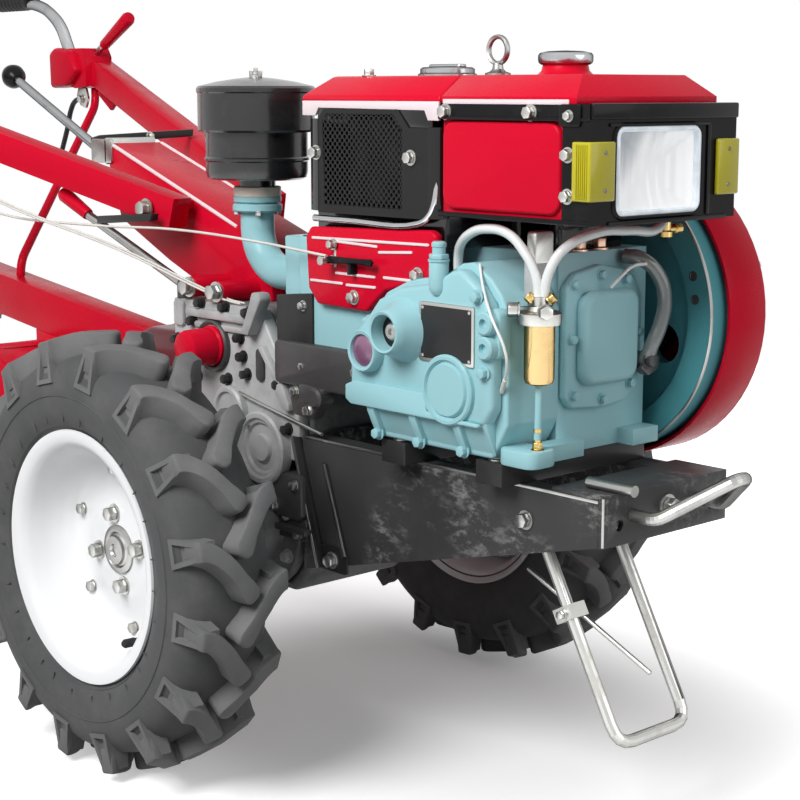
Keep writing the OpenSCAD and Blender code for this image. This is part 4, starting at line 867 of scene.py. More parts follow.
cheeks = [bent_sheet([(146, -123), (147, -131), (152, -138), (162, -142), (173, -143.5)], 746, 864, 2),
          bent_sheet([(381, -143.5), (390, -142), (395, -138), (397, -131), (397, -123)], 746, 856, 2)]
as_piece(joined(*cheeks), "grille_cheeks", GLOSS_BLACK, "radiator", angle=50)
bolts("grille_screws", [(170, SHEET_Y, 821), (350, SHEET_Y, 819)], RIGHT, 13, ZINC, "radiator_grille")
tube("tray_pipe", [(160, -139, 736), (222, -140, 736), (360, -140, 739), (378, -140, 748), (388, -139, 766),
                   (389, -136, 800)], 4.5, CHROME, "radiator")
# The wide pale plate is the hood's stripe. The thin pale line along the tank's lower edge is a painted
# highlight.
as_piece(joined(plate([(140, 868), (166, 868), (172, 878), (372, 876), (378, 864), (397, 864), (397, 887),
                       (140, 887)], "y", -142, -138, 1),
                plate([(404, 884), (606, 884), (606, 890), (404, 890)], "y", -142, -138, 1.2)),
         "hood_stripe", PALE, "hood")
as_piece(plate([(318, 879), (342, 852), (386, 852), (386, 880)], "y", -141.5, -138, 1), "grille_corner",
         GLOSS_BLACK, "radiator")
print("grille framed")

# %% [markdown]
# The air cleaner is spun from sheet: a pan, a wider cap that overlaps it, a low cone on top and a wing
# nut. Below it a clamp ring and a two-part flange hold it on the intake elbow.

# %% Air cleaner
CLEANER = (-40, -78)
can = lathe([(0, 0), (26, 0), (26, 10), (64, 11), (70, 14), (72, 22), (72, 36), (74, 38), (74, 41), (72, 43),
             (72, 76), (80, 77), (82, 80), (82, 130), (83.5, 132), (83.5, 137), (81, 140), (56, 146),
             (30, 150), (12, 152), (0, 152)], 72)
as_piece(placed(can, at(*CLEANER, 766)), "cleaner_can", CAN_BLACK, "air_cleaner", ["air_cleaner"])
as_piece(turned([(9, 0), (9, 4), (5, 5), (5, 9), (3, 10), (3, 14), (0, 14)], (*CLEANER, 917), steps=16),
         "cleaner_stud", ZINC, "air_cleaner")
ears = plate([(-53, 918), (-49, 917), (-31, 917), (-27, 918), (-26, 927), (-30, 927), (-34, 921), (-46, 921),
              (-50, 927), (-54, 927)], "y", -79.5, -76.5, 0.8)
as_piece(ears, "cleaner_wing_nut", ZINC, "air_cleaner")
as_piece(turned([(32, 0), (33.5, 1), (33.5, 13), (32, 14)], (*CLEANER, 753), steps=48), "cleaner_clamp",
         BEIGE, "air_cleaner")
collar = lathe([(24, -3), (33, -2), (35, 0), (35, 7), (33, 9), (30, 9), (30, 11), (34, 12), (34, 18),
                (31, 20), (24, 20)], 48)
as_piece(placed(collar, at(*CLEANER, 734)), "elbow_collar", TEAL, "intake_elbow")
bolts("collar_bolts",
      [(CLEANER[0] + 29 * math.cos(a), CLEANER[1] + 29 * math.sin(a), 734) for a in (-2.2, -0.6, 1.0, 2.6)],
      DOWN, 9, ZINC, "intake_elbow")
print("air cleaner built")

# %% [markdown]
# The hood carries two filler caps and a lifting ring, and the tank's side has a shallow pressed panel
# under a black strip. Caps and ring are turned on a lathe, so they are spun. The panel is a plate with a
# wide bevel, which gives the soft shoulder that a press leaves.

# %% Caps, strip and tank panel
neck = turned([(38, 0), (33, 2), (29, 6), (27, 14), (0, 14)], (495, -26, 917))
as_piece(neck, "filler_neck", RED, "fuel_tank")
cap = lathe([(0, 13), (29, 13), (32, 15), (33, 18), (33, 24), (31, 27), (22, 29), (0, 30)])
as_piece(placed(cap, at(495, -26, 917)), "fuel_cap", CHROME, "filler_caps", ["filler_caps"])
lid = joined(turned([(38, 0), (38, 2), (35, 4), (35, 9), (32, 11), (12, 12), (0, 12)], (292, -26, 918)),
             slab(262, -33, 322, -19, 5, "z", 928, 933, 2))
as_piece(lid, "radiator_cap", CHROME, "filler_caps")
as_piece(plate(box_outline(403, 760, 594, 865, 18, 6), "y", -142, -133, 6, 4), "tank_panel", RED, "fuel_tank")
bolts("strip_bolts", [(409, -141, 875), (548, -141, 875)], RIGHT, 13, ZINC, "lamp_housing")
bolts("lamp_bolts", [(609, -144.5, 829), (609, -144.5, 783)], RIGHT, 12, ZINC, "lamp_housing")
bolts("hood_bolt", [(222, -98, 918)], UP, 12, ZINC, "hood")
eye = joined(turned([(13.2, 0), (14, 2.8), (17, 4), (18.6, 2.4), (19, 0), (18.6, -2.4), (17, -4), (14, -2.8),
                     (13.2, 0)], (386, -30, 949), LEFT, 40),
             turned([(0, 0), (16, 0), (16, 4), (10, 6), (7, 9), (6, 16), (0, 16)], (386, -30, 917), steps=32))
as_piece(eye, "lifting_ring", STEEL, "lifting_eye", ["lifting_eye"])
print("hood dressed")

# %% [markdown]
# A headlamp shows a bright fluted bowl inside a rim of thick glass. The bowl is a grid whose middle is
# pushed back along a parabola, with a cosine for the flutes, and the rim is one face inset step by step.
# A whole pane of glass would only dim the bowl, so the rim stands for it. The bowl's brightness is a
# painted reflection that darkens towards the upper left, with a painted glow, and the rim glows with a
# painted glint. Yellow side lamps wrap the corners, with small screws.

# %% Lamps
LENS = (-26, 810)
LENS_W, LENS_H = 150, 100
# Painted reflection and shade: the bowl runs from grey at the upper left to white, with painted streaks, and
# the same colours glow a little though the lamp is off.
MIRROR = Finish("lamp mirror", Roughness=0.2, Coat_Weight=0.4, Coat_Roughness=0.05, Emission_Strength=0.24)
side, height = (MIRROR.node("ShaderNodeSeparateXYZ", None, {"Vector": MIRROR.where}, out=k)
                for k in ("Y", "Z"))
painted_shade_slope = height * 20 + side * -13.3 + (-0.81 * 20 - 0.026 * 13.3)
streak = MIRROR.noise(14.0, 3.0, 0.5, MIRROR.stretched(1.0, 2.4, 0.5))
painted_reflection_and_shade = MIRROR.ramp(painted_shade_slope * -1 + streak * 1.6, -0.75, 0.55)
MIRROR.feed("Base Color", MIRROR.mix(painted_reflection_and_shade, (0.36, 0.40, 0.44), (0.92, 0.93, 0.94)))
MIRROR.feed("Emission Color", MIRROR.mix(painted_reflection_and_shade, (0.16, 0.18, 0.20), (0.9, 0.91, 0.92)))
# Painted glint: the glass rim glows in pale colours.
GLASS = Finish("lamp rim", Roughness=0.08, Coat_Weight=0.5, Emission_Strength=0.3)
painted_rim_glint = GLASS.mix(GLASS.ramp(GLASS.noise(30.0), 0.3, 0.8), (0.74, 0.80, 0.86), (0.50, 0.56, 0.60))
GLASS.feed("Base Color", painted_rim_glint)
GLASS.feed("Emission Color", painted_rim_glint)
bowl = bmesh.new()
bmesh.ops.create_grid(bowl, x_segments=36, y_segments=24, size=0.5)
for vert in bowl.verts:
    u, v = (vert.co.x * 2, vert.co.y * 2)
    flute = 0.8 * math.cos(u * 26) * (1 - abs(u))
    vert.co = at(638 - 11 * (1 - max(abs(u), abs(v)) ** 2) + flute, LENS[0] + u * (LENS_W / 2 - 3),
                 LENS[1] + v * (LENS_H / 2 - 3))
bmesh.ops.recalc_face_normals(bowl, faces=bowl.faces)
as_piece(bowl, "lamp_reflector", MIRROR.material, "lamp_glass", ["lamp_glass"])
y0, y1, z0, z1 = LENS[0] - LENS_W / 2, LENS[0] + LENS_W / 2, LENS[1] - LENS_H / 2, LENS[1] + LENS_H / 2


def rim(grow, x, profile):
    """A band round the lens: one face, which each step of the profile insets and moves along X."""
    work = bmesh.new()
    outline = box_outline(y0 - grow, z0 - grow, y1 + grow, z1 + grow, 12 + grow)
    face = work.faces.new([work.verts.new(at(x, u, v)) for u, v in outline])
    for inward, forward in profile:
        work.normal_update()
        bmesh.ops.inset_region(work, faces=[face], thickness=inward / 1000, depth=forward / 1000,
                               use_boundary=True, use_even_offset=True)
    bmesh.ops.delete(work, geom=[face], context="FACES")
    return work


as_piece(rim(0, 637, [(0.1, 5), (2, 2), (2, 0), (2, -3), (0.1, -4)]), "lamp_glass_rim", GLASS.material,
         "lamp_glass")
as_piece(rim(5, 638, [(0.1, 2.5), (2, 2.5), (2, 0), (0.6, -2), (0.1, -3)]), "lamp_bezel", BLACK_PLASTIC,
         "lamp_housing")
brow = [plate([(-143, 868), (118, 868), (118, 886), (-143, 886)], "x", 638, 644, 2, 2),
        slab(-112, 860, 66, 864, 1.5, "x", 638, 642.5, 1.2),
        slab(62, 756, 68, 862, 1.5, "x", 638, 642.5, 1.2),
        slab(-112, 749.5, 100, 755, 2, "x", 636, 643, 1.5),
        slab(596, 860, 628, 885, 4, "y", -147.5, -143, 1.5),
        slab(400, 866, 640, 870, 1.5, "y", -146.5, -143, 1.2),
        slab(400, 751, 640, 757, 1.5, "y", -146.5, -143, 1.2)]
as_piece(joined(*brow), "lamp_ledges", BLACK_PLASTIC, "lamp_housing", angle=40)
bolts("ledge_screws", [(612, -147.5, 872)], RIGHT, 9, ZINC, "lamp_housing")
ribs = [slab(640 - 3 * i, 781, 641.5 - 3 * i, 841, 0.5, "y", -151, -148, 0.5, 1) for i in range(6)]
as_piece(joined(*ribs), "side_lamp_ribs", AMBER, "side_lamps")
screws = [turned([(2.6, 0), (2.2, 1), (0, 1.4)], (646, y, z), FRONT, 12)
          for y in (-124, 98) for z in (790, 832)]
as_piece(joined(*screws), "side_lamp_screws", FORGED, "side_lamps")
print("lamps built")

# %% [markdown]
# The gearbox side is a pale cast lid with studs round its edge, a raised double ridge, a slanting
# stiffener and a red cap on the shaft. The handle column stands on it, held by two bolts through red
# bosses. A bump in the material would vanish at the lid's outline, so every raised form is a plate or a
# turned boss.

# %% Gearbox fittings
LID_Y = -120
ridges = [slab(-152, 577, 8, 590, 5, "y", LID_Y - 8, LID_Y + 1, 2.5),
          slab(-134, 562, 2, 571, 4, "y", LID_Y - 5, LID_Y + 1, 2),
          plate([(-4, 568), (12, 564), (42, 617), (38, 626), (22, 626), (16, 610)],
                "y", LID_Y - 20, LID_Y + 1, 3),
          slab(-184, 560, -160, 598, 6, "y", LID_Y - 6, LID_Y + 1, 3)]
as_piece(joined(*ridges), "lid_ridges", IRON_PALE, "gearbox_covers")
CAP = (-90, LID_Y, 539)
red_cap = lathe([(0, 56), (20, 56), (24, 54), (26, 50), (26.5, 12), (29, 9), (29, 0), (0, 0)])
as_piece(placed(red_cap, at(*CAP), RIGHT), "shaft_cap_cup", RED, "shaft_cap", ["shaft_cap"])
as_piece(turned([(30, 0), (37, 0), (38, 3), (37, 7), (34, 9), (31, 7), (29, 2)], CAP, RIGHT), "shaft_seal",
         IRON_DARK, "shaft_cap")
STUDS = [(-140, 570), (-120, 598), (-62, 597), (-8, 594), (-28, 556), (-22, 530), (-13, 506), (-58, 494),
         (-130, 490), (-180, 540), (60, 500), (78, 440)]
bolts("lid_studs", [(x, LID_Y, z) for x, z in STUDS], RIGHT, 12, BLACK, "gearbox_covers", rise=0.9)
BOSSES = [(-152, 618), (-86, 616)]
tubes = [turned([(0, 0), (15, 0), (15, 66), (13, 68), (0, 68)], (x, -50, z), RIGHT, 28) for x, z in BOSSES]
as_piece(joined(*tubes), "column_bosses", RED, "handle_box")
bolts("column_bolts", [(x, -118, z) for x, z in BOSSES], RIGHT, 20, ZINC, "handle_box")
flange_angles = [math.tau * i / 8 + 0.3 for i in range(8)]
flange_bolts = [(80 * math.cos(a), 295 + 80 * math.sin(a)) for a in flange_angles]
for word, y, way in (("right", -118, RIGHT), ("left", 118, LEFT)):
    bolts("axle_bolts_" + word, [(x, y, z) for x, z in flange_bolts], way, 14, IRON_PALE, "axles")
brake = joined(slab(44, 316, 114, 380, 10, "y", -130, -98, 4), slab(54, 286, 118, 318, 4, "y", -124, -104, 2),
               slab(60, 298, 126, 306, 2, "y", -134, -104, 1.5))
as_piece(brake, "brake_box", IRON_DARK, "gearbox_case")
bolts("brake_bolts", [(56, -130, 330), (102, -130, 366), (102, -124, 296)], RIGHT, 11, STEEL, "gearbox_case")
rib = plate([(20, 548), (30, 552), (92, 474), (84, 468)], "y", LID_Y - 9, LID_Y + 1, 2)
slot_block = slab(10, 500, 27, 546, 7, "y", LID_Y - 5, LID_Y + 1, 2)
lugs = plate([(60, 500), (76, 506), (92, 478), (92, 468), (78, 468)], "y", LID_Y - 12, LID_Y + 1, 2)
hoop = turned([(52, -2), (52, 14), (49, 17), (43, 17), (40, 13), (36, 12), (33, 8), (20, 8), (18, 14),
               (0, 14)], (30, LID_Y, 408), RIGHT)
hoop_small = turned([(34, -2), (34, 10), (31, 13), (26, 13), (23, 9), (0, 9)], (-48, LID_Y, 452), RIGHT)
as_piece(joined(rib, lugs, hoop, hoop_small), "lid_castings", IRON_PALE, "gearbox_covers")
as_piece(joined(slot_block, turned([(43, 15), (41, 12), (37, 11), (35, 9)], (30, LID_Y - 0.5, 408), RIGHT)),
         "lid_dark_parts", IRON_DARK, "gearbox_covers")
bolts("hoop_bolts", [(-26, LID_Y - 4, 424), (0, LID_Y - 4, 436), (66, LID_Y - 4, 384), (-72, LID_Y, 470)],
      RIGHT, 12, ZINC, "gearbox_covers")
head_fit = joined(slab(66, 506, 262, 566, 8, "y", -136, -120, 4),
                  plate([(104, 492), (126, 512), (176, 509), (150, 464), (112, 468)], "y", -140, -118, 3),
                  turned([(14, 0), (14, 22), (11, 26), (0, 26)], (160, -120, 496), RIGHT, 24))
as_piece(head_fit, "head_bracket", IRON_DARK, "cylinder")
bolts("head_bracket_bolts", [(118, -140, 500), (146, -140, 478), (240, -136, 540)], RIGHT, 11, ZINC,
      "cylinder")
tube("lid_rod", [(-60, -124, 484), (40, -124, 464), (150, -121, 443)], 2.6, ZINC, "gearbox_covers")
print("gearbox dressed with", len(STUDS), "studs")

# %% [markdown]
# Black channel rails carry the engine. Their rear ends are stiffened by slanting straps, their top edges
# carry a thin bright steel line, and bolts hold the bumper and the stand's pins. A bright line could be
# painted on, but a thin bright bar along the edge stays sharp from any side.

# %% Frame straps and bolts
RAIL_Y = -115
straps = [plate([(84, 432), (98, 432), (152, 258), (138, 254)], "y", RAIL_Y - 6, RAIL_Y + 2, 1.5),
          plate([(144, 404), (154, 402), (196, 280), (186, 276)], "y", RAIL_Y - 4, RAIL_Y + 2, 1.5),
          slab(136, 254, 196, 288, 6, "y", RAIL_Y - 3, RAIL_Y + 2, 1.5)]
as_piece(joined(*straps), "rail_straps", BLACK, "frame")
edges = [plate([(108, 431), (638, 431), (638, 435), (108, 435)], "y", s * RAIL_Y - 1.6, s * RAIL_Y + 2, 1.2)
         for s in (1, -1)]
edges += [plate([(82, 431), (86, 432), (140, 256), (136, 254)], "y", RAIL_Y - 7.2, RAIL_Y, 0.8),
          plate([(150, 402), (153, 402), (195, 281), (192, 280)], "y", RAIL_Y - 5, RAIL_Y, 0.8)]
as_piece(joined(*edges), "rail_edges", STEEL, "frame")
bolts("rail_bolts", [(167, RAIL_Y - 3, 271), (524, RAIL_Y, 392)], RIGHT, 16, STEEL, "frame")
bolts("rail_bolts_left", [(167, -RAIL_Y, 271), (524, -RAIL_Y, 392)], LEFT, 16, STEEL, "frame")
bolts("bumper_bolt", [(645, 0, 412)], FRONT, 20, STEEL, "bumper")
bolts("mount_bolts", [(x, y, 463) for x in (322, 492) for y in (-132, 108)], UP, 15, ZINC, "mount_bars")
bolts("stand_screw", [(549, -75, 271)], RIGHT, 10, ZINC, "front_stand", body="stand")
print("frame dressed")

# %% [markdown]
# The controls are bright bars with moulded ends: a long gear lever with a round black knob, a link that
# ties it to the left arm, and two levers with red sleeves. The bars are curves with a round section, and
# the ends are turned.

# %% Levers, knob and sleeves
KNOB, GEAR_FOOT = (-845, 8, 924), (-494, -42, 804)
tube("gear_lever", [GEAR_FOOT, (-664, -18, 862), (-834, 6.5, 920)], 8, CHROME, "levers", ["levers"])
knob = lathe([(0, -21), (9, -20), (15, -15), (20, -6), (21, 2), (18, 12), (11, 19), (0, 21)], 32)
as_piece(placed(knob, at(*KNOB), at(*KNOB) - at(*GEAR_FOOT)), "gear_knob", BLACK_PLASTIC, "levers")
foot = joined(slab(-504, 786, -446, 824, 5, "y", -55, -48, 2), slab(-55, 784, 40, 826, 4, "x", -466, -459, 2),
              turned([(12, 0), (12, 14), (10, 16), (0, 16)], (-494, -50, 804), LEFT, 24))
as_piece(foot, "gear_lever_foot", ZINC, "levers")
as_piece(plate([(-52, 813), (-36, 815), (146, 824), (148, 836), (-36, 829), (-52, 825)],
               "x", -509, -503, 1.5), "link_bar", BLACK, "levers")
bolts("link_bolt", [(-503, 58, 826)], FRONT, 10, ZINC, "levers")
as_piece(plate([(-364, 699), (-220, 711), (-216, 722), (-364, 711)], "y", -138, -124, 2), "tiller_link",
         BLACK, "levers")


def sleeve(start, end, radius, name):
    """A red moulded sleeve on a lever's end, swelling towards its tip."""
    a, b = (at(*start), at(*end))
    length = (b - a).length * 1000
    form = lathe([(0, 0), (radius * 0.7, 0), (radius * 0.78, 3), (radius * 0.95, length * 0.7),
                  (radius, length - 8), (radius * 0.8, length - 2), (0, length)], 28)
    as_piece(placed(form, a, b - a), name, RED, "levers")


tube("tiller_lever", [(-176, -110, 618), (-290, -123, 667), (-396, -134, 712)], 7, STEEL, "levers")
as_piece(turned([(11, 0), (11, 22), (9, 26), (0, 26)], (-176, -110, 600), steps=24), "tiller_lever_foot",
         IRON_DARK, "levers")
sleeve((-392, -134, 711), (-456, -140, 743), 12, "tiller_sleeve")
tube("clutch_lever", [(-1036, 284, 956), (-1010, 286, 971), (-978, 287.3, 989)], 6, CHROME, "levers")
as_piece(turned([(11, -6), (11, 8), (8, 13), (0, 13)], (-1036, 284, 956), (0.86, 0, 0.5), 24),
         "clutch_lever_foot", ZINC, "levers")
sleeve((-984, 287.3, 985), (-892, 287.3, 1037), 13, "clutch_sleeve")
print("levers fitted")

# %% [markdown]
# Each arm ends in a pressed housing with a domed cap on its inner side, a clevis for the steering lever
# under it and a gusset to the arm. The grips get the rings that keep a hand from slipping. Handlebars and
# cables are bent from one length each, so they are curves with a round section through a few knots.

# %% Arm ends, grips, cables and handlebars
STEERING_LEVERS = {
    "right": [(-1030, -268, 880), (-1064, -270, 872), (-1130, -274, 906), (-1220, -278, 962)],
    "left": [(-1030, 268, 884), (-1056, 265, 880), (-1072, 264, 862), (-1084, 264, 833), (-1106, 264, 790),
             (-1130, 266, 752)]}
HANDLEBAR = [(-1072, 268, 968), (-1088, 270, 990), (-1110, 272, 1020), (-1150, 276, 1047), (-1205, 281, 1066),
             (-1290, 287, 1075), (-1366, 287.3, 1079)]
for s, word in ((-1, "right"), (1, "left")):
    inward = RIGHT if s > 0 else LEFT
    dome = plate([(-1112, 972), (-1092, 983), (-1042, 976), (-1014, 938), (-1052, 908), (-1110, 904)], "y",
                 s * 262 - 22, s * 262 + 22, 9, 4)
    gusset = plate([(-1008, 912), (-930, 888), (-962, 862), (-1004, 892)], "y", s * 287 - 4, s * 287 + 4, 1.5)
    as_piece(joined(dome, gusset), word + "_arm_end", RED, "handle_arms")
    clevis = joined(plate([(-1046, 906), (-1020, 906), (-1012, 884), (-1022, 866), (-1040, 872),
                           (-1052, 890)], "y", s * 268 - 3, s * 268 + 3, 1.5),
                    placed(hex_head(12), at(-1032, s * 268 - s * 3, 884), inward))
    as_piece(clevis, word + "_clevis", ZINC, "handle_arms")
    tube(word + "_steering_lever", STEERING_LEVERS[word], 5, BLACK, "levers")
    rings = [turned([(18.5, -2), (20, 0), (18.5, 2)], (-1362 + 14 * i, s * 287.3, 1079.3), FRONT, 32)
             for i in range(8)]
    as_piece(joined(*rings), word + "_grip_rings", SOFT_BLACK, "grips")
for word, y, way in (("right", -120, RIGHT), ("left", 120, LEFT)):
    bolts("arm_bolts_" + word, [(-254, y, 727)], way, 20, ZINC, "handle_arms")
# Pale beads along the column's top edges are painted highlights.
for y, end in ((-49, (-126, 703)), (47, (-200, 731))):
    tube("column_bead_" + ("right" if y < 0 else "left"),
         [(-452, y, 815.5), ((end[0] - 452) / 2, y, (end[1] + 815.5) / 2), (end[0], y, end[1])], 3, PALE,
         "handle_box")
THROTTLE_ROUTE = [(-1004, -262, 944), (-972, -238, 890), (-930, -244, 864), (-700, -252, 764),
                  (-512, -222, 712),
                  (-330, -172, 701), (-140, -152, 704), (40, -146, 698), (196, -150, 689)]
STEERING_ROUTE = [(-1004, -264, 914), (-975, -261, 862), (-800, -265, 820), (-490, -228, 728),
                  (-250, -172, 668), (-70, -116, 606), (-36, -114, 603)]
tube("throttle_cable", THROTTLE_ROUTE, 1.9, CABLE, "cables", ["cables"])
for shift in (0, 8):
    tube("steering_cable_" + str(shift), [(x, y + shift, z) for x, y, z in STEERING_ROUTE], 1.6, CABLE,
         "cables")
for s, word in ((-1, "right"), (1, "left")):
    tube(word + "_handlebar", [(x, s * y, z) for x, y, z in HANDLEBAR], 11.5, CHROME, "handlebars",
         ["handlebars"] if s < 0 else ())
print("arm ends fitted")

# %% [markdown]
# The machine's left side and its rear are mostly sheet metal. The belt guard has a pressed bead inside
# its edge and a round cover over the flywheel nut, and the tiller's hood has turned edges and lap straps.
# A bead that follows an outline is a set of rings bridged together. One that follows an arc is a short
# section, spun.

# %% Left side and rear sheet metal
WHEEL_HUB, CLUTCH_HUB, REEL = (424, 618), (-60, 540), (-700, 240)


def guard_line(inset, steps=20):
    """The guard's outline, moved in: two arcs that share their tangents."""
    (ax, az), (bx, bz) = WHEEL_HUB, CLUTCH_HUB
    big, small = 195 - inset, 121 - inset
    lean = math.atan2(bz - az, bx - ax)
    open_by = math.acos((big - small) / math.hypot(bx - ax, bz - az))
    arc = [(ax, az, big, lean + open_by + (math.tau - 2 * open_by) * i / steps) for i in range(steps + 1)]
    arc += [(bx, bz, small, lean - open_by + 2 * open_by * i / steps) for i in range(steps + 1)]
    return [(x + r * math.cos(a), z + r * math.sin(a)) for x, z, r, a in arc]


bead = bmesh.new()
rings = []
for inset, y in ((22, 219.5), (25, 223), (31, 223), (34, 219.5)):
    ring = [bead.verts.new(at(x, y, z)) for x, z in guard_line(inset)]
    rings.append([bead.edges.new(pair) for pair in zip(ring, ring[1:] + ring[:1])])
for outer, inner in zip(rings, rings[1:] + rings[:1]):
    bmesh.ops.bridge_loops(bead, edges=outer + inner)
bmesh.ops.recalc_face_normals(bead, faces=bead.faces)
cover = turned([(0, -1), (72, -1), (72, 3), (69, 5), (30, 6), (27, 9), (22, 10), (0, 10)],
               (WHEEL_HUB[0], 220, WHEEL_HUB[1]), LEFT, 56)
as_piece(joined(bead, cover), "guard_pressings", RED, "belt_guard", angle=40)


def circle_of(centre, y, radius, angles):
    return [(centre[0] + radius * math.cos(math.radians(a)), y,
             centre[1] + radius * math.sin(math.radians(a)))
            for a in angles]


guard_bolts = circle_of(WHEEL_HUB, 220, 184, (80, 20, -40, -100))
guard_bolts += circle_of(CLUTCH_HUB, 220, 110, (130, 200, 260))
guard_bolts += circle_of(WHEEL_HUB, 223, 58, (45, 135, 225, 315))
bolts("guard_bolts", guard_bolts, LEFT, 12, ZINC, "belt_guard")


def turned_edge(section, low, high, steps=36):
    """A section of (radius, y) about the reel's axle, spun between two angles, with closed ends."""
    work = bmesh.new()
    start = math.radians(low)
    ring = [work.verts.new(at(REEL[0] + r * math.cos(start), y, REEL[1] + r * math.sin(start)))
            for r, y in section]
    face = work.faces.new(ring)
    bmesh.ops.spin(work, geom=[face], cent=at(REEL[0], 0, REEL[1]), axis=(0, -1, 0),
                   angle=math.radians(high - low), steps=steps)
    bmesh.ops.remove_doubles(work, verts=work.verts, dist=1e-06)
    bmesh.ops.recalc_face_normals(work, faces=work.faces)
    return work


edges = [turned_edge([(231, y - 3), (237, y - 4), (239, y), (237, y + 4), (231, y + 3)], 0, 180)
         for y in (-284, 284)]
straps = [turned_edge([(232, y - 14), (236, y - 14), (236, y + 14), (232, y + 14)], 12, 168)
          for y in (-150, 150)]
as_piece(joined(*edges, *straps), "hood_edges", RED, "tiller_hood", angle=40)
for word, y, way in (("left", 286, LEFT), ("right", -286, RIGHT)):
    bolts(word + "_hood_bolts", circle_of(REEL, y, 214, (12, 50, 90, 130, 168)), way, 13, ZINC, "tiller_hood")
    far = 28 if y > 0 else -28
    case_bolts = circle_of((-355, 388), far, 33, (-60, 0, 180, 240)) + [(-420, far, 342), (-436, far, 372)]
    bolts(word + "_chain_case_bolts", case_bolts, way, 12, ZINC, "chain_case")
    bolts(word + "_tail_axle_nut", [(-1020, 44 if y > 0 else -44, 110)], way, 22, ZINC, "tail_fork")
    bolts(word + "_tail_wheel_bolts", circle_of((-1020, 110), 8 if y > 0 else -8, 49, range(18, 378, 72)),
          way, 11, ZINC, "tail_wheel", body="tail")
print("guard and hood dressed")

# %% [markdown]
# A silencer is a drum with rolled seams and a clamp, and the tail post runs through a clamp ring. Both
# are turned rings, each a closed profile spun round, so that they sit on the drum and the post like the
# real bands.

# %% Silencer bands, post clamp and rear bolts
SILENCER = (6, 95)


def band(radius, low, high, swell=2.5):
    return lathe([(radius - 1, low), (radius + swell, low + 1), (radius + swell, high - 1),
                  (radius - 1, high), (radius - 1, low)], 48)


bands = [placed(band(45, low, high), at(*SILENCER, 0))
         for low, high in ((640, 645), (835, 840.5), (690, 704), (780, 794))]
outlet = turned([(14, 0), (16, 1), (16.5, 12), (15, 13), (12, 13), (12, 0), (14, 0)], (*SILENCER, 867),
                steps=32)
as_piece(joined(*bands, outlet), "silencer_bands", IRON_DARK, "silencer", angle=40)
as_piece(placed(band(18, 484, 508, 8), at(-960, 0, 0)), "post_clamp", IRON_DARK, "tail_fork", angle=40)
bolts("post_clamp_bolt", [(-960, 26, 496)], LEFT, 12, ZINC, "tail_fork")
bolts("gearbox_rear_bolts", [(-190, y, z) for y in (-84, 84) for z in (425, 500, 580)], BACK, 13, ZINC,
      "gearbox_covers")
for word, s, way in (("left", 1, LEFT), ("right", -1, RIGHT)):
    places = [(REEL[0] + 47 * math.cos(a), s * (47 + 85 * i), REEL[1] - 47 * math.sin(a)) for i in range(3)
              for a in (math.radians(90 * k + 30 * i + 12) for k in range(4))]
    bolts(word + "_tine_bolts", places, way, 13, FORGED, "tine_reel", body="reel")
print("silencer, post, gearbox rear and tines fitted")

# %% [markdown]
# A flywheel's edge is machined bright, and small plugs balance it. Below the intake elbow a dark sheet
# covers the cylinder's side, and the bumper's corner carries a thin bright steel line. The edge is a thin
# ring, spun, and the bright corner is a slim round bar let into the corner, because a painted line would
# blur where the two faces meet.

# %% Flywheel edge, cylinder side sheet and bumper corner
as_piece(turned([(181, 1), (184, -0.6), (185.6, 0.4), (185.6, 3), (181, 3), (181, 1)],
                (WHEEL_HUB[0], 122, WHEEL_HUB[1]), LEFT, 96), "flywheel_edge", STEEL, "flywheel",
         body="flywheel_body")
plugs = [turned([(0, 0.4), (4, 0.4), (4.6, 1), (6, 1), (6.4, 0), (6.4, -2), (0, -2)], (x, 122, z), RIGHT, 20)
         for x, z in ((579, 673), (583, 644))]
as_piece(joined(*plugs), "balance_plugs", IRON_DARK, "flywheel", body="flywheel_body")
# A dark sheet covers the cylinder's side next to the gearbox.
guard = plate([(66, 518), (142, 518), (142, 634), (100, 630), (66, 626)], "y", -130, -125, 1.5)
as_piece(guard, "head_guard", BLACK, "cylinder")
bolts("head_guard_bolts", [(124, -130, 616), (124, -130, 534)], RIGHT, 10, ZINC, "cylinder")
tube("bumper_corner", [(643.6, -113.6, 380), (643.6, -113.6, 409), (643.6, -113.6, 438)], 1.8, STEEL,
     "bumper")
print("flywheel edge, cylinder side sheet and bumper corner fitted")

# %% [markdown]
# A studio sweep: a round pale floor, one large soft lamp over the machine's right side, a weaker one
# above, and an even world. To the camera, to mirrors and to glass the world is white. The floor glows for
# the camera towards its edge, so that it fades into the white and still takes the machine's shadow. For
# light that bounces on it is darker, so that the undersides and the front keep their shade.


# %% Stage and light
FLOOR_SEEN, FLOOR_BOUNCE, WORLD_LEVEL = (0.88, 0.88, 0.88), (0.34, 0.34, 0.34), 0.17


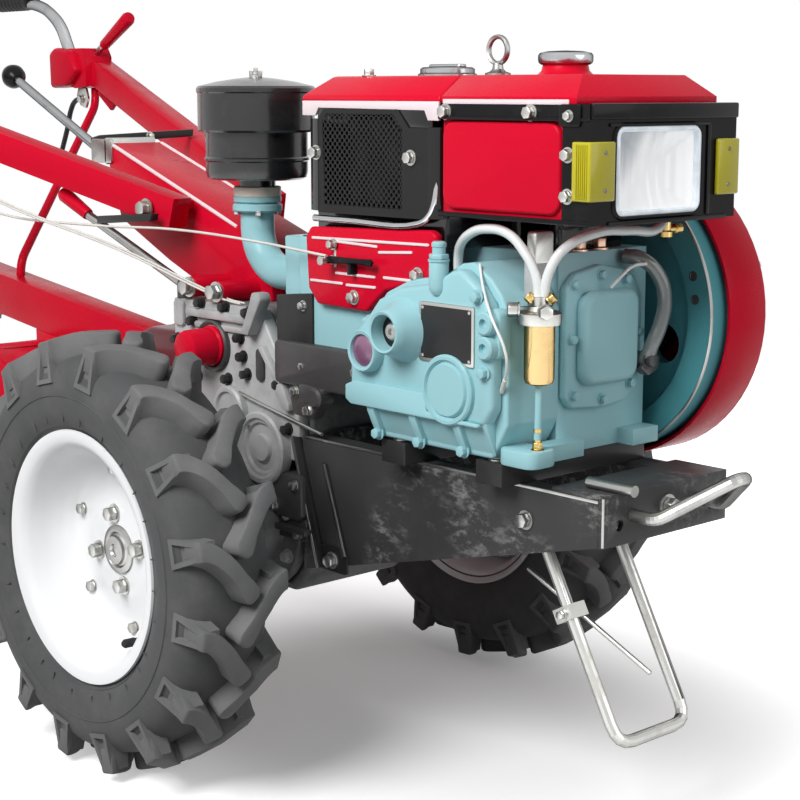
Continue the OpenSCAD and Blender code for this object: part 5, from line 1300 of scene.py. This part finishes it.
def stage_finish():
    finish = Finish("studio floor", Roughness=0.9, Specular_IOR_Level=0.1, Emission_Strength=1.0)
    path = "ShaderNodeLightPath"
    seen = finish.node("ShaderNodeMath", {"operation": "MAXIMUM"},
                       {0: finish.node(path, out="Is Camera Ray"), 1: finish.node(path, out="Is Glossy Ray")})
    seen = finish.node("ShaderNodeMath", {"operation": "MAXIMUM"},
                       {0: seen, 1: finish.node(path, out="Is Transmission Ray")})
    spot = finish.node("ShaderNodeMapping", {"vector_type": "TEXTURE"},
                       {"Vector": finish.where, "Location": (AXLE_X + 0.05, 0.05, 0),
                        "Scale": (1.15, 0.75, 1)})
    reach = finish.node("ShaderNodeVectorMath", {"operation": "LENGTH"}, {0: spot}, out="Value")
    finish.feed("Base Color", finish.mix(seen, FLOOR_BOUNCE, FLOOR_SEEN))
    glow = seen * (finish.ramp(reach, 0.28, 1.0) * 0.85 + 0.17)
    finish.feed("Emission Color", finish.mix(glow, (0, 0, 0), (1, 1, 1)))
    return finish.material


work = bmesh.new()
bmesh.ops.create_circle(work, cap_ends=True, segments=96, radius=3.4)
floor_data = bpy.data.meshes.new("floor")
work.to_mesh(floor_data)
work.free()
floor = bpy.data.objects.new("floor", floor_data)
bpy.context.scene.collection.objects.link(floor)
floor.location.z = -0.0005
floor.data.materials.append(stage_finish())

world = bpy.data.worlds.new("studio")
bpy.context.scene.world = world
world.use_nodes = True
sky_tree = world.node_tree
sky = sky_tree.nodes["Background"]
sky.inputs["Color"].default_value = (1, 1, 1, 1)
path = sky_tree.nodes.new("ShaderNodeLightPath")
seen = path.outputs["Is Camera Ray"]
for ray in ("Is Glossy Ray", "Is Transmission Ray"):
    either = sky_tree.nodes.new("ShaderNodeMath")
    either.operation = "MAXIMUM"
    sky_tree.links.new(seen, either.inputs[0])
    sky_tree.links.new(path.outputs[ray], either.inputs[1])
    seen = either.outputs[0]
level = sky_tree.nodes.new("ShaderNodeMapRange")
level.inputs["To Min"].default_value = WORLD_LEVEL
level.inputs["To Max"].default_value = 1.0
sky_tree.links.new(seen, level.inputs["Value"])
sky_tree.links.new(level.outputs[0], sky.inputs["Strength"])


def soft_lamp(name, place, target, size, watts):
    data = bpy.data.lights.new(name, "AREA")
    data.shape = "DISK"
    data.size = size
    data.energy = watts
    lamp = bpy.data.objects.new(name, data)
    bpy.context.scene.collection.objects.link(lamp)
    lamp.location = place
    lamp.rotation_euler = (target - place).to_track_quat("-Z", "Y").to_euler()


middle = at(250, 0, 550)
soft_lamp("key", at(600, -2600, 2600), middle, 1.8, 118)
soft_lamp("fill", at(3000, 600, 1500), middle, 2.4, 24)
soft_lamp("top", at(200, 300, 3400), middle, 2.6, 4)
bpy.context.scene.view_settings.view_transform = "Standard"
print("stage set")
